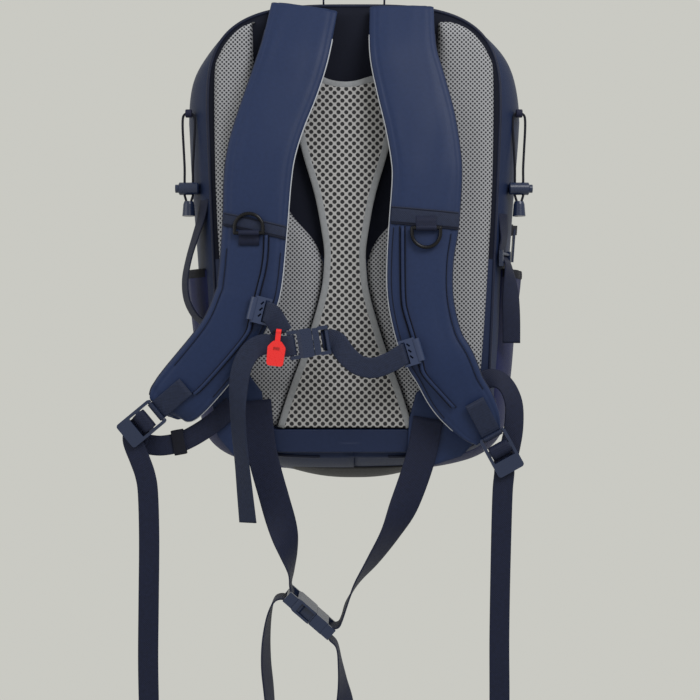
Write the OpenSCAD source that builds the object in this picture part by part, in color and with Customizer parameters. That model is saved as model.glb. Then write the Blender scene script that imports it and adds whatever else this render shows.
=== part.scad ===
// Ventilated hiking daypack that hangs by its haul loop, harness side to the front.
// X runs to the right as seen from the harness side, Y from the harness into the bag, Z up.
// The origin is the inside top of the haul loop, and Y = 0 is the flat back panel.
// Lengths are in millimetres.

/* [Bag] */
// Width across the upper part of the bag
bag_w = 344; // [285:1:415]
// Width across the lower part of the bag
base_w = 306; // [255:1:370]
// Height from the bottom to the rim
bag_h = 482; // [400:1:580]
// Depth at the rim
depth_top = 110; // [92:1:135]
// Depth at the bottom
depth_bottom = 185; // [155:1:222]
// Height of the rounded shoulders
shoulder_r = 117; // [98:1:140]
// Height of the rounded lower corners
corner_r = 63; // [52:1:76]
// Thickness of the shell fabric with its foam
shell_t = 3; // [2:0.5:4]
// Share of the depth at which the main zip runs
zip_share = 0.45; // [0.4:0.01:0.5]
// Height of the front panel's fold above the bottom
fold_h = 240; // [200:1:290]

/* [Pockets] */
// Fullness of the side pockets at the mouth
pocket_full = 13; // [8:1:18]
// Height of the front pocket
front_pocket_h = 170; // [140:1:200]
// Fullness of the front pocket
front_pocket_full = 16; // [10:1:22]
// Thickness of the pocket fabric
pocket_t = 1.5; // [1:0.1:2.5]

/* [Harness] */
// Rise of the haul loop above the rim
loop_h = 40; // [34:1:48]
// Inside width of the haul loop
loop_w = 60; // [50:1:72]
// Thickness of the back pads
pad_t = 14.7; // [12:0.1:18]
// Thickness of the mesh panel
mesh_t = 3; // [2:0.5:4]
// Thickness of the shoulder pads
strap_t = 12; // [10:0.5:14]
// Stand-off of the shoulder pads from the back panel
strap_reach = 47; // [44:1:56]
// Width of the shoulder and sternum webbing
webbing_w = 20; // [18:1:24]
// Width of the hip webbing
hip_w = 30; // [25:1:36]
// Thickness of all webbing
webbing_t = 1.8; // [1.4:0.1:2.2]
// Radius of the sternum rails
rail_r = 1.6; // [1.3:0.1:1.9]

/* [Hardware] */
// Radius of the D-ring wire
wire_r = 1.75; // [1.5:0.05:2.1]
// Radius of the ladder lock's top bar
bar_r = 1.9; // [1.6:0.1:2.2]
// Diameter of the elastic cord
bungee_d = 2.5; // [2.1:0.1:3]
// Travel of the cord lock's button
button_travel = 3; // [2.5:0.1:3.6]

/* [Hidden] */
// Gap between soft pieces that lie against each other
gap = 0.3;
// Gap round a hinge pin
pin_gap = 0.1;
rim_z = -loop_h;
base_z = rim_z - bag_h;
shoulder_z = rim_z - shoulder_r;
hip_z = base_z + corner_r;
fold_z = base_z + fold_h;
slope = (depth_bottom - depth_top) / bag_h;
// Factors that carry the pieces along when the bag grows; both are 1 at the drawn size
grow_x = bag_w / 344;
grow_z = bag_h / 482;
big = 2000;

// ---- Places that travel with the bag's size ----
function place_z(z) = rim_z + (z + 40) * grow_z;
function place(p) = [p.x * grow_x, p.y, place_z(p.z)];

// ---- Bag surface ----
// v runs over the edge from the top centre (0) to the bottom centre (1), negative on the left;
// t runs through the depth from the back panel (0) to the front (1).
function depth(z) = depth_top + (rim_z - z) * slope;
function pull(t) = pow(abs(2 * t - 1), 3);
function half_top(t) = bag_w / 2 - (t < 0.5 ? 26 : 44) * pull(t);
function half_base(t) = base_w / 2 - (t < 0.5 ? 20 : 35) * pull(t);
function top_of(t) = rim_z - (t < 0.5 ? 8 : 45) * pull(t);
function low_of(t) = base_z + (t < 0.5 ? 22 : 17) * pull(t);
// The back panel's own corners are squarer than the bag's
function bend(c, t) = sign(c) * pow(abs(c), 0.8 - (t < 0.5 ? 0.2 : 0) * pull(t));
function edge(v, t, out) =
    let (s = abs(v), w = half_top(t) + out, b = half_base(t) + out)
    s < 0.4 ? let (a = 90 - 225 * s)
        [w * bend(cos(a), t), shoulder_z + (top_of(t) + out - shoulder_z) * bend(sin(a), t)]
    : s < 0.7 ? let (f = (s - 0.4) / 0.3) [w + (b - w) * f, shoulder_z + (hip_z - shoulder_z) * f]
    : let (a = 300 * (s - 0.7))
        [b * bend(cos(a), t), hip_z - (hip_z - low_of(t) + out) * bend(sin(a), t)];
function skin(v, t, out = 0) =
    let (e = edge(v, t, out)) [sign(v) * e.x, t * depth(e.y), e.y];
function lining(v, t) =
    let (e = edge(v, t, -shell_t))
    [sign(v) * e.x, shell_t + t * (depth(e.y) - 2 * shell_t), e.y];
// v on the straight side at height z
function side_v(z) = 0.4 + 0.3 * (shoulder_z - z) / (shoulder_z - hip_z);

// ---- Solids from lists of points ----
function flipped(list) = [for (i = [len(list) - 1 : -1 : 0]) list[i]];
function total(list) = list * [for (i = list) 1];
function six_volumes(points, faces) = total([for (f = faces) for (k = [1 : len(f) - 2])
    cross(points[f[0]], points[f[k]]) * points[f[k + 1]]]);

// Closed solid through rings that all have the same even number of points
module loft(rings) {
    n = len(rings[0]);
    last = (len(rings) - 1) * n;
    points = [for (r = rings) each r];
    sides = [for (i = [0 : len(rings) - 2]) for (j = [0 : n - 1])
        let (a = i * n + j, b = i * n + (j + 1) % n)
        each [[a, b, b + n], [a, b + n, a + n]]];
    ends = [for (j = [0 : n / 2 - 2]) let (a = j, b = j + 1, c = n - 2 - j, d = n - 1 - j)
        each [[b, a, d], [b, d, c], [last + a, last + b, last + d],
            [last + b, last + c, last + d]]];
    faces = concat(sides, ends);
    polyhedron(points, six_volumes(points, faces) > 0 ? [for (f = faces) flipped(f)] : faces);
}

// Sheet on the bag's surface between the offsets low(v, t) and high(v, t)
module patch(vs, ts, low, high) {
    loft([for (v = vs) concat([for (t = ts) skin(v, t, low(v, t))],
        flipped([for (t = ts) skin(v, t, high(v, t))]))]);
}

// Catmull-Rom curve through a list of vectors, n steps between neighbours
function knot(points, i) = points[max(0, min(len(points) - 1, i))];
function between(a, b, c, d, f) =
    0.5 * (2 * b + (c - a) * f + (2 * a - 5 * b + 4 * c - d) * f * f
        + (3 * b - a - 3 * c + d) * f * f * f);
function route(points, n) = concat(
    [for (i = [0 : len(points) - 2]) for (k = [0 : n - 1])
        between(knot(points, i - 1), points[i], points[i + 1], knot(points, i + 2), k / n)],
    [points[len(points) - 1]]);

function xyz(p) = [p[0], p[1], p[2]];
function unit(v) = v / norm(v);
function heading(path, i) =
    unit(xyz(path[min(len(path) - 1, i + 1)]) - xyz(path[max(0, i - 1)]));
function squared(v, along) = unit(v - (v * along) * along);
// Outline of count points, w wide and t thick; power above 2 makes it boxier
function lens(count, w, t, power) = [for (k = [0 : count - 1]) let (a = 360 * (k + 0.5) / count)
    [w / 2 * sign(cos(a)) * pow(abs(cos(a)), 2 / power),
     t / 2 * sign(sin(a)) * pow(abs(sin(a)), 2 / power)]];
function section(place, across, along, outline) =
    let (side = squared(across, along), face = cross(along, side))
    [for (q = outline) place + q.x * side + q.y * face];

// Flat webbing: path points are [x, y, z, ax, ay, az], where a is the way its width runs
module webbing(points, w, n = 3) {
    path = route(points, n);
    loft([for (i = [0 : len(path) - 1])
        section(xyz(path[i]), [path[i][3], path[i][4], path[i][5]], heading(path, i),
            lens(8, w * 1.04, webbing_t * 1.08, 6))]);
}
// Route whose width runs the same way all along
function facing(points, across) = [for (p = points) concat(p, across)];

// Round cord or piping
module round_cord(points, d, n, sides = 8) {
    path = route(points, n);
    loft([for (i = [0 : len(path) - 1])
        section(path[i], [0.3, 1, 0.2], heading(path, i), lens(sides, d, d, 2))]);
}

// Flat piece with its outline in X and Z and its back at y, t thick towards the wearer
module plate(y, t) {
    translate([0, y, 0]) rotate([90, 0, 0]) linear_extrude(t) children();
}

// ---- Bag ----
module bag_form(inside) {
    loft([for (k = [0 : 10]) let (t = (1 - cos(18 * k)) / 2)
        [for (i = [0 : 59]) inside ? lining(-1 + i / 30, t) : skin(-1 + i / 30, t)]]);
}

// Everything in front of the main zip and above the fold, drawn back by half the slit
module front_zone(slit) {
    intersection() {
        translate([-big / 2, zip_share * depth_top + slit / 2, rim_z])
            rotate([atan(zip_share * slope), 0, 0])
                translate([0, 0, -big / 2]) cube(big);
        translate([-big / 2, -big / 2, fold_z + slit / 2]) cube(big);
    }
}

module bag_shell() {
    color([0.13, 0.18, 0.33]) difference() {
        bag_form(false);
        bag_form(true);
        front_zone(0);
    }
}

module front_panel() {
    color([0.14, 0.2, 0.36]) intersection() {
        difference() {
            bag_form(false);
            bag_form(true);
        }
        front_zone(2 * gap);
    }
}

zip_v = side_v(fold_z);
zip_steps = [for (i = [-22 : 22]) zip_v * i / 22];
zip_low = function (v, t) gap;
zip_high = function (v, t) gap + 1.2;

module zip_chain() {
    color([0.06, 0.08, 0.16])
        patch(zip_steps, [zip_share - 0.045, zip_share - 0.004], zip_low, zip_high);
}

module flap_zip_chain() {
    color([0.06, 0.08, 0.16])
        patch(0.985 * zip_steps, [zip_share + 0.012, zip_share + 0.05], zip_low, zip_high);
}

// The slider rides outside the teeth, at the foot of the right leg of the zip
slider_z = fold_z + 16;
slider_foot = skin(side_v(slider_z), zip_share, 0);
slider_lift = unit(skin(0.4, zip_share, 0) - slider_foot);
slider_lean = atan(slider_lift.x / slider_lift.z);
slider_tilt = atan(slider_lift.y / slider_lift.z);
slider_out = gap + 1.2 + 0.4;
pull_r = 1.1;

// Frame on the parked slider: Z up the zip, X away from the bag
module at_slider() {
    translate(slider_foot) rotate([-slider_tilt, slider_lean, 0]) children();
}

module zip_slider() {
    color([0.08, 0.08, 0.1]) at_slider() difference() {
        union() {
            translate([slider_out, -4.5, -6]) cube([2, 9, 12]);
            translate([slider_out + 2, -2, -5]) cube([5, 4, 10]);
        }
        translate([slider_out + 4.2, -3, 0])
            rotate([-90, 0, 0]) cylinder(h = 6, r = pull_r + pin_gap, $fn = 24);
    }
}

module zip_pull() {
    color([0.1, 0.12, 0.2]) at_slider() {
        translate([slider_out + 4.2, -4.2, 0])
            rotate([-90, 0, 0]) cylinder(h = 8.4, r = pull_r, $fn = 24);
        for (side = [-1, 1])
            translate([slider_out + 3.1, side * 3.2 - 1, -12]) cube([2.2, 2, 13]);
        translate([slider_out + 3.1, -4.2, -34]) cube([2.2, 8.4, 22.5]);
    }
}

// ---- Inside the bag ----
sheet_w = 220 * grow_x;
sheet_top = rim_z - 32;
sheet_low = base_z + 50;
sheet_t = 1.5;
sheet_y = shell_t + gap + sheet_t;
rod_d = 4;

module frame_sheet() {
    color([0.75, 0.75, 0.73]) plate(sheet_y, sheet_t)
        translate([-sheet_w / 2 + 12, sheet_low + 12])
            offset(12, $fn = 24) square([sheet_w - 24, sheet_top - sheet_low - 24]);
}

module frame_wire() {
    y = sheet_y + gap + rod_d / 2;
    w = sheet_w / 2 - 16;
    color([0.7, 0.71, 0.73]) round_cord([
        [-w + 22, y, sheet_low + 14], [-w + 6, y, sheet_low + 30], [-w, y, sheet_low + 80],
        [-w, y, (sheet_low + sheet_top) / 2], [-w, y, sheet_top - 60],
        [-w + 14, y, sheet_top - 22], [-w + 44, y, sheet_top - 12], [0, y, sheet_top - 10],
        [w - 44, y, sheet_top - 12], [w - 14, y, sheet_top - 22], [w, y, sheet_top - 60],
        [w, y, (sheet_low + sheet_top) / 2], [w, y, sheet_low + 80],
        [w - 6, y, sheet_low + 30], [w - 22, y, sheet_low + 14]], rod_d, 4);
}

// Open-topped sleeve for a drinking bladder, hung in front of the frame
sleeve_w = 190 * grow_x;
sleeve_h = 300 * grow_z;
sleeve_d = 16;

module hydration_sleeve() {
    y = sheet_y + 2 * gap + rod_d;
    color([0.1, 0.13, 0.24]) translate([-sleeve_w / 2, y, sheet_top - 20 - sleeve_h])
        difference() {
            cube([sleeve_w, sleeve_d, sleeve_h]);
            translate([1, 1, 1]) cube([sleeve_w - 2, sleeve_d - 2, sleeve_h]);
        }
}

// ---- Back ----
// Cord along the edge of the back panel
piping_r = 1.8;
function piping_at(v) = skin(v, 0, piping_r + 0.1) - [0, 1.2, 0];
module rim_piping() {
    color([0.05, 0.06, 0.12]) loft([for (i = [-40 : 40]) let (v = 0.98 * i / 40)
        section(piping_at(v), [0, 1, 0], unit(piping_at(v + 0.01) - piping_at(v - 0.01)),
            lens(8, 2 * piping_r, 2 * piping_r, 2))]);
}

// Half width of the hourglass panel at height z, from its top to its foot
panel_x = -9;
panel_top = -119;
panel_foot = -472;
panel_edge = [[60, -119], [52, -155], [43, -195], [30, -240], [22, -285], [21, -306],
    [25, -340], [41, -394], [55, -432], [68, -472]];
binding_w = 7;
panel_y = -(pad_t - 5);

function panel_outline(inset) = let (half = route(panel_edge, 3)) concat(
    [for (p = half) [grow_x * (panel_x - p.x) + inset, place_z(p.y)]],
    flipped([for (p = half) [grow_x * (panel_x + p.x) - inset, place_z(p.y)]]));

module panel_face(inset) {
    difference() {
        polygon(panel_outline(inset));
        translate([panel_x * grow_x, place_z(panel_top) + 52 - inset])
            circle(r = 58, $fn = 72);
    }
}

module mesh_panel() {
    color([0.62, 0.62, 0.64]) plate(panel_y, mesh_t) panel_face(binding_w);
}

module mesh_binding() {
    color([0.58, 0.59, 0.62]) plate(panel_y + 0.5, mesh_t + 1) difference() {
        panel_face(0);
        offset(delta = gap) panel_face(binding_w);
        translate([-big / 2, place_z(panel_foot) - 1]) square([big, 1 + binding_w]);
    }
}

// Inner edge of each back pad, from the panel's middle; beside the panel below its waist
pad_inner = [[94, -62], [90, -130], [78, -200], [59, -249], [31, -284], [22, -306]];
pad_outer = [[122, -470], [126, -440], [131, -380], [136, -304], [140, -223],
    [141, -120], [136, -96], [124, -78], [111, -68]];

// Flat area of the back panel inside its piping
function rim_side(side) = [for (i = [0 : 30]) let (e = edge(i / 30, 0, -gap)) [side * e.x, e.y]];
module inside_rim() {
    polygon(concat(rim_side(1), flipped(rim_side(-1))));
}

module back_pad(side) {
    lower = [for (p = route(panel_edge, 3)) if (p.y < -310)
        [grow_x * (side * panel_x + p.x) + gap, place_z(p.y)]];
    upper = [for (p = pad_inner) [grow_x * (side * panel_x + p.x), place_z(p.y)]];
    rim = [for (p = pad_outer) [grow_x * p.x, place_z(p.y)]];
    color([0.66, 0.66, 0.68]) scale([side, 1, 1]) plate(-gap, pad_t - gap)
        intersection() {
            offset(4, $fn = 24) offset(-4) polygon(concat(upper, lower, rim));
            inside_rim();
        }
}

module lumbar_strip() {
    corner = [[118, -487], [100, -493.5], [80, -497]];
    color([0.09, 0.12, 0.24]) plate(-gap, pad_t - 2) intersection() {
        polygon(concat(
            [[100 * grow_x, place_z(-472.5) - gap], [-118 * grow_x, place_z(-472.5) - gap]],
            [for (p = corner) [-p.x * grow_x, place_z(p.y)]],
            flipped([for (p = corner) [min(p.x, 104) * grow_x, place_z(p.y)]])));
        inside_rim();
    }
}

// Webbing loop sewn to the top edge of the back panel
loop_y = 8;
module haul_loop() {
    x = loop_w / 2 + webbing_t / 2;
    foot = rim_z - 2.6;
    half = [[-x, foot], [-x, foot + 12], [-x + 2, -16], [-x + 9, -4], [-x + 19, 0.6]];
    color([0.09, 0.11, 0.22]) webbing(facing(concat(
        [for (p = half) [p.x, loop_y, p.y]], [[0, loop_y, webbing_t / 2]],
        flipped([for (p = half) [-p.x, loop_y, p.y]])), [0, 1, 0]), webbing_w);
}

// ---- Shoulder pads ----
// Each point is [x, stand-off share, z, width, thickness share]
pad_left = [[-50, 0.17, -50, 68, 0.7], [-58.5, 0.56, -97, 69, 1], [-69, 0.72, -133, 69, 1],
    [-81.5, 0.85, -169, 67, 1], [-90, 0.94, -199, 66.5, 1], [-94, 0.98, -227.5, 66, 1],
    [-96.5, 1, -273.5, 63.5, 1], [-101.5, 1, -329, 62.5, 1], [-108, 1, -351, 60.5, 1],
    [-125, 0.97, -384, 58.5, 1], [-164.5, 0.85, -432, 58, 1], [-180, 0.785, -447, 51, 0.76],
    [-186, 0.72, -452.5, 35, 0.5], [-189, 0.68, -455, 18, 0.33]];
pad_right = [[48, 0.17, -50, 65, 0.7], [48.5, 0.56, -97, 66.5, 1], [56, 0.72, -133, 69, 1],
    [64.5, 0.85, -169, 69.5, 1], [70, 0.94, -204, 68.5, 1], [71, 0.98, -228, 68, 1],
    [68, 1, -270.5, 68, 1], [64.5, 1, -303.5, 65, 1], [64, 1, -335.5, 64, 1],
    [68, 1, -363, 63, 1], [76, 1, -390, 62.5, 1], [88, 0.97, -410.5, 62, 1],
    [99, 0.89, -433, 59, 1], [112, 0.84, -451, 55, 0.9], [124, 0.79, -468, 45, 0.75],
    [132, 0.77, -479, 30, 0.5]];

module shoulder_pad(points) {
    path = route([for (p = points)
        concat(place([p[0], -strap_reach * p[1], p[2]]), [p[3], p[4]])], 2);
    color([0.15, 0.21, 0.36]) loft([for (i = [0 : len(path) - 1])
        section(xyz(path[i]), [1, 0, 0.001], heading(path, i),
            lens(16, path[i][3], strap_t * path[i][4], 3.6))]);
}

// Front face of the shoulder pads at their full stand-off
pad_front = -(strap_reach + strap_t / 2);
rail_y = pad_front - rail_r - 2 * gap;
rail_left = [[-85, rail_y, -283], [-85.7, rail_y, -302], [-88, rail_y, -318],
    [-91, rail_y, -330], [-94, rail_y, -342], [-97, rail_y, -354], [-100, rail_y, -366],
    [-103.5, rail_y, -378], [-119, rail_y + 1, -398], [-146, rail_y + 5.5, -428],
    [-156, rail_y + 7.4, -437]];
rail_right = [[46.8, rail_y, -274], [47, rail_y, -320], [47.8, rail_y, -346],
    [50, rail_y, -358], [53.6, rail_y, -370], [57.2, rail_y, -382], [60.8, rail_y, -394],
    [64.4, rail_y, -406], [68.2, rail_y + 0.6, -418], [84, rail_y + 4, -436],
    [97, rail_y + 7, -450]];

module sternum_rails() {
    color([0.1, 0.14, 0.27]) for (rail = [rail_left, rail_right])
        round_cord([for (p = rail) place(p)], 2 * rail_r, 3);
}

// ---- Tabs on the shoulder pads ----
tab_t = 1.2;
ring_y = pad_front - gap - tab_t - pin_gap - wire_r - 0.2;
ring_left = place([-101.8, ring_y, -281]);
ring_right = place([69.6, ring_y, -276]);
ring_in = 12;

// Webbing tab that holds a D-ring's bar; way is 1 when the tab hangs below the bar
module ring_tab(at, way) {
    r = wire_r + pin_gap;
    translate(at) {
        rotate([0, 90, 0]) difference() {
            cylinder(h = webbing_w, r = r + tab_t, center = true, $fn = 32);
            cylinder(h = webbing_w + 2, r = r, center = true, $fn = 32);
        }
        translate([-webbing_w / 2, r, way > 0 ? -12 : 1.5]) cube([webbing_w, tab_t, 10.5]);
    }
}

// Ladder locks: place of the top bar and the lean of the long axis from straight down
lock_left = place([-192.6, -45, -453.6]);
lock_right = place([134.7, -45, -477.5]);
lean_left = 50.3;
lean_right = -28.7;
module at_lock(at, lean) {
    translate(at) rotate([0, lean, 0]) children();
}

module lock_patch(at, lean, back) {
    r = bar_r + pin_gap;
    at_lock(at, lean) {
        rotate([0, 90, 0]) difference() {
            cylinder(h = webbing_w, r = r + tab_t, center = true, $fn = 32);
            cylinder(h = webbing_w + 2, r = r, center = true, $fn = 32);
        }
        hull() for (end = [[0, 0.4, 3.2], [0, back, 38]])
            translate([-webbing_w / 2, end.y, end.z - 0.5]) cube([webbing_w, tab_t, 1]);
    }
}

module strap_tabs() {
    color([0.09, 0.11, 0.22]) {
        ring_tab(ring_left, 1);
        ring_tab(ring_right, -1);
        lock_patch(lock_left, lean_left, 0.8 - strap_t / 2);
        lock_patch(lock_right, lean_right, -0.2 - strap_t / 2);
    }
}

// D-ring with its bar on the X axis; way is 1 when the bow points up
module d_ring(at, way) {
    color([0.05, 0.05, 0.06]) translate(at) {
        rotate([0, 90, 0])
            cylinder(h = 2 * ring_in + 2 * wire_r, r = wire_r, center = true, $fn = 32);
        for (side = [-1, 1]) translate([side * (ring_in + wire_r), 0, min(0, 5 * way)]) {
            cylinder(h = 5, r = wire_r, $fn = 32);
            translate([0, 0, way > 0 ? 0 : 5]) sphere(wire_r, $fn = 32);
        }
        translate([0, 0, 5 * way]) rotate([90, way > 0 ? 0 : 180, 0])
            rotate_extrude(angle = 180, $fn = 72)
                translate([ring_in + wire_r, 0]) circle(wire_r, $fn = 32);
    }
}

// Ladder lock in its own frame: top bar on the X axis, tab towards -Z, front towards -Y
module ladder_lock(at, lean) {
    w = webbing_w + 8;
    color([0.08, 0.1, 0.2]) at_lock(at, lean) {
        rotate([0, 90, 0]) cylinder(h = w - 2, r = bar_r, center = true, $fn = 32);
        difference() {
            translate([0, 2.5, 0]) rotate([90, 0, 0]) linear_extrude(5) difference() {
                translate([-w / 2 + 3, -37]) offset(3, $fn = 24) square([w - 6, 36]);
                translate([-webbing_w / 2 - 1, -12.6]) square([webbing_w + 2, 20]);
                translate([-webbing_w / 2 - 1, -25.5]) square([webbing_w + 2, 8]);
            }
            translate([0, 12.5, -41]) rotate([0, 90, 0])
                cylinder(h = w + 2, r = 11.5, center = true, $fn = 64);
        }
    }
}

// ---- Shoulder webbing: lower runs, then the tails that hang from the locks ----
lower_left = [[-120.5, -18.8, -448.5, 0.7, 0, -0.7], [-132, -20, -460, 0.67, 0, -0.75],
    [-149, -22, -473, 0.54, 0, -0.84], [-170, -25, -484.5, 0.3, 0, -0.95],
    [-189, -27.5, -488.5, 0, 0, -1], [-203, -28.5, -487.5, 0.2, 0, -1],
    [-210, -30, -486, 0.5, 0, -0.86], [-212, -33.2, -484, 0.61, 0, -0.79],
    [-211.5, -36, -480, 0.8, 0, -0.6], [-210.5, -37, -473.5, 0.8, 0, -0.6],
    [-208, -38.3, -466.4, 0.64, 0, -0.77], [-204.5, -40.4, -463.5, 0.64, 0, -0.77],
    [-201.1, -41.6, -460.6, 0.64, 0, -0.77], [-200.1, -43.6, -459.9, 0.64, 0, -0.77],
    [-200.1, -44.6, -459.9, 0.64, 0, -0.77]];
tail_left = [[-200.1, -45.2, -459.9, 0.64, 0, -0.77], [-200.1, -46.4, -459.9, 0.64, 0, -0.77],
    [-201.5, -48.7, -461, 0.64, 0, -0.77], [-204.2, -49.3, -463.2, 0.64, 0, -0.77],
    [-206.8, -48.7, -465.4, 0.64, 0, -0.77], [-209, -45, -467.3, 0.64, 0, -0.77],
    [-209.8, -41.9, -468.1, 0.64, 0, -0.77], [-212.3, -40.4, -470.3, 0.65, 0, -0.76],
    [-215, -40.2, -473.7, 0.84, 0, -0.54], [-216.6, -40.2, -478, 0.97, 0, -0.22],
    [-216.4, -40.4, -483.5, 0.98, 0, 0.2], [-213.9, -40.6, -491, 0.93, 0, 0.36],
    [-209, -40.8, -503, 0.92, 0, 0.38], [-204.3, -40.6, -517, 0.95, 0, 0.3],
    [-201.8, -40, -535, 0.99, 0, 0.1], [-201, -38, -580, 1, 0.05, 0],
    [-202, -35, -640, 1, 0.1, 0], [-203, -32, -700, 1, 0.05, 0],
    [-202.5, -30, -750, 1, 0, 0], [-202, -28, -790, 1, 0, 0]];
lower_right = [[106, -18.8, -440, -0.63, 0, 0.78], [121, -20.5, -428.5, -0.45, 0.1, 0.88],
    [137, -22.5, -422, 0, 0.35, 0.93], [150, -24.5, -428, 0.55, 0.5, 0.6],
    [158, -26.5, -446, 0.9, 0.4, 0.2], [158, -27.5, -470, 0.98, 0.2, -0.1],
    [154, -28, -492, 0.97, 0, -0.2], [150.5, -29, -505, 0.98, 0, -0.1],
    [149.5, -32, -509.5, 0.99, 0, 0.13], [148.5, -35, -507, 0.95, 0, 0.3],
    [147.2, -36.6, -500.3, 0.88, 0, 0.48], [144.3, -38.3, -495, 0.88, 0, 0.48],
    [142.1, -40.4, -491.1, 0.88, 0, 0.48], [140, -41.6, -487.1, 0.88, 0, 0.48],
    [139.4, -43.6, -486.1, 0.88, 0, 0.48], [139.4, -44.6, -486.1, 0.88, 0, 0.48]];
tail_right = [[139.4, -45.2, -486.1, 0.88, 0, 0.48], [139.4, -46.4, -486.1, 0.88, 0, 0.48],
    [140.2, -48.7, -487.6, 0.88, 0, 0.48], [141.9, -49.3, -490.7, 0.88, 0, 0.48],
    [143.6, -48.7, -493.7, 0.88, 0, 0.48], [145, -45, -496.3, 0.88, 0, 0.48],
    [145.8, -41.6, -497.8, 0.9, 0, 0.43], [146.8, -40.4, -503, 0.97, 0, 0.25],
    [147, -40.8, -514, 1, 0, 0], [145.5, -40.8, -530, 1, 0, 0], [144.5, -40, -560, 1, 0, 0],
    [143.5, -37, -620, 1, 0.1, 0], [143, -34, -680, 1, 0.1, 0], [143.5, -31, -740, 1, 0, 0],
    [143, -29, -790, 1, 0, 0]];

// Routes keep their form; a larger bag carries them along at their start
function carried(points) =
    let (shift = place(xyz(points[0])) - xyz(points[0])) [for (p = points)
        [p[0] + shift.x, p[1], p[2] + shift.z, p[3], p[4], p[5]]];

module shoulder_webbing_left() {
    color([0.07, 0.09, 0.18]) webbing(carried(lower_left), webbing_w);
}

module shoulder_webbing_right() {
    color([0.07, 0.09, 0.18]) webbing(carried(lower_right), webbing_w);
}

module shoulder_tail_left() {
    color([0.07, 0.09, 0.18]) webbing(carried(tail_left), webbing_w);
}

module shoulder_tail_right() {
    color([0.07, 0.09, 0.18]) webbing(carried(tail_right), webbing_w);
}

// Elastic keeper round the left lower webbing
module webbing_keeper() {
    at = place([-173.5, -25.5, -485.3]);
    inside = [webbing_t + 3.6, webbing_w + 2.4];
    color([0.05, 0.06, 0.1]) translate(at) rotate([0, 80, 0]) translate([0, 0, -6])
        linear_extrude(12) difference() {
            square([inside.y + 2.4, inside.x + 2.4], center = true);
            square([inside.y, inside.x], center = true);
        }
}

// ---- Hip belt ----
wing_y = -pad_t - gap;
wing_t = 2;
module corner_wings() {
    color([0.1, 0.14, 0.27]) plate(wing_y, wing_t) {
        polygon([for (p = [[-106, -417], [-92, -436], [-86, -494], [-78, -512], [-116, -505],
            [-137, -480], [-143, -442], [-124, -422]]) [grow_x * p.x, place_z(p.y)]]);
        polygon([for (p = [[62, -437], [55, -463], [53, -500], [71, -512], [108, -500],
            [134, -472], [136, -440], [106, -425], [76, -425]]) [grow_x * p.x, place_z(p.y)]]);
    }
}

web_y = wing_y - wing_t - gap - webbing_t / 2 - 0.1;
hip_left = [[-97.5, web_y, -444, 1, 0, 0.1], [-92, web_y - 0.5, -494, 1, 0, 0.2],
    [-79, -20, -543, 0.95, 0, 0.3], [-70, -21, -574, 0.8, 0.4, 0.2],
    [-65, -22, -596, 0.5, 0.8, 0.1], [-62.5, -23, -614, 0.15, 1, 0], [-63, -24, -627, 0, 1, 0],
    [-60.7, -24, -635, 0, 1, 0], [-61.4, -24, -638.9, 0, 1, 0], [-65.1, -24, -640.2, 0, 1, 0],
    [-72.1, -24, -638.5, 0, 1, 0], [-79, -24.5, -642, 0, 1, 0], [-84, -25, -656, 0.1, 1, 0],
    [-87, -26, -680, 0.2, 1, 0], [-87, -27, -705, 0.25, 1, 0], [-84.5, -27, -730, 0.25, 1, 0],
    [-82, -27, -760, 0.2, 1, 0], [-81, -27, -790, 0.2, 1, 0]];
hip_right = [[74, web_y, -462, 1, 0, -0.2], [67, web_y - 0.5, -499, 1, 0, -0.25],
    [52, -20, -543, 0.9, 0.2, -0.4], [37, -21, -575, 0.6, 0.7, -0.4],
    [19, -22, -603, 0.4, 0.9, -0.3], [3, -23, -625, 0.2, 1, -0.1],
    [-7, -24, -645, 0, 1, 0], [-12, -24, -660, 0, 1, 0], [-15.6, -24, -666.5, 0, 1, 0],
    [-22.9, -24, -667.8, 0, 1, 0], [-26.6, -24, -669.1, 0, 1, 0], [-27.3, -24, -673, 0, 1, 0],
    [-23.7, -24, -679, 0, 1, 0], [-17, -24, -687, 0, 1, 0], [-14, -24, -705, 0.1, 1, 0],
    [-11.5, -24, -725, 0.3, 1, 0], [-9.5, -24, -745, 0.6, 0.9, 0], [-9, -24, -768, 0.8, 0.7, 0],
    [-9, -24, -790, 0.9, 0.6, 0]];

module hip_webbing_left() {
    color([0.07, 0.09, 0.18]) webbing(carried(hip_left), hip_w);
}

module hip_webbing_right() {
    color([0.07, 0.09, 0.18]) webbing(carried(hip_right), hip_w);
}

// ---- Side-release buckles ----
// Own frame: the male leaves along +X, the width runs along Y and the thickness along Z.
// length is from bar to bar when closed; w is the webbing's width.
function body_w(w) = w + 8;
module buckle_bar(w, t) {
    for (side = [-1, 1])
        translate([-2, side * (w / 2 + 2.2) - 1.8, -t / 2 + 1]) cube([10, 3.6, t - 2]);
    rotate([90, 0, 0]) cylinder(h = body_w(w) - 2, r = 1.9, center = true, $fn = 32);
}

module buckle_female(w, t, length) {
    mouth = length / 2 + 4;
    prong = body_w(w) - 5;
    translate([-length / 2, 0, 0]) buckle_bar(w, t);
    difference() {
        hull() {
            translate([-length / 2 + 7.5, -w / 2 - 3, -t / 2 + 1]) cube([1, w + 6, t - 2]);
            translate([-length / 2 + 11, -body_w(w) / 2, -t / 2]) cube([mouth - 14, body_w(w), t]);
            translate([mouth - length / 2 - 2, -body_w(w) / 2 + 1, -t / 2]) cube([2, body_w(w) - 2, t]);
        }
        translate([-length / 2 + 10.5, -prong / 2 - 0.4, -t / 2 + 2])
            cube([mouth, prong + 0.8, t - 4]);
        translate([-length / 2 + 14, -body_w(w), -t / 2 + 2.2])
            cube([length / 3 - 2, 2 * body_w(w), t - 4.4]);
    }
}

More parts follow.
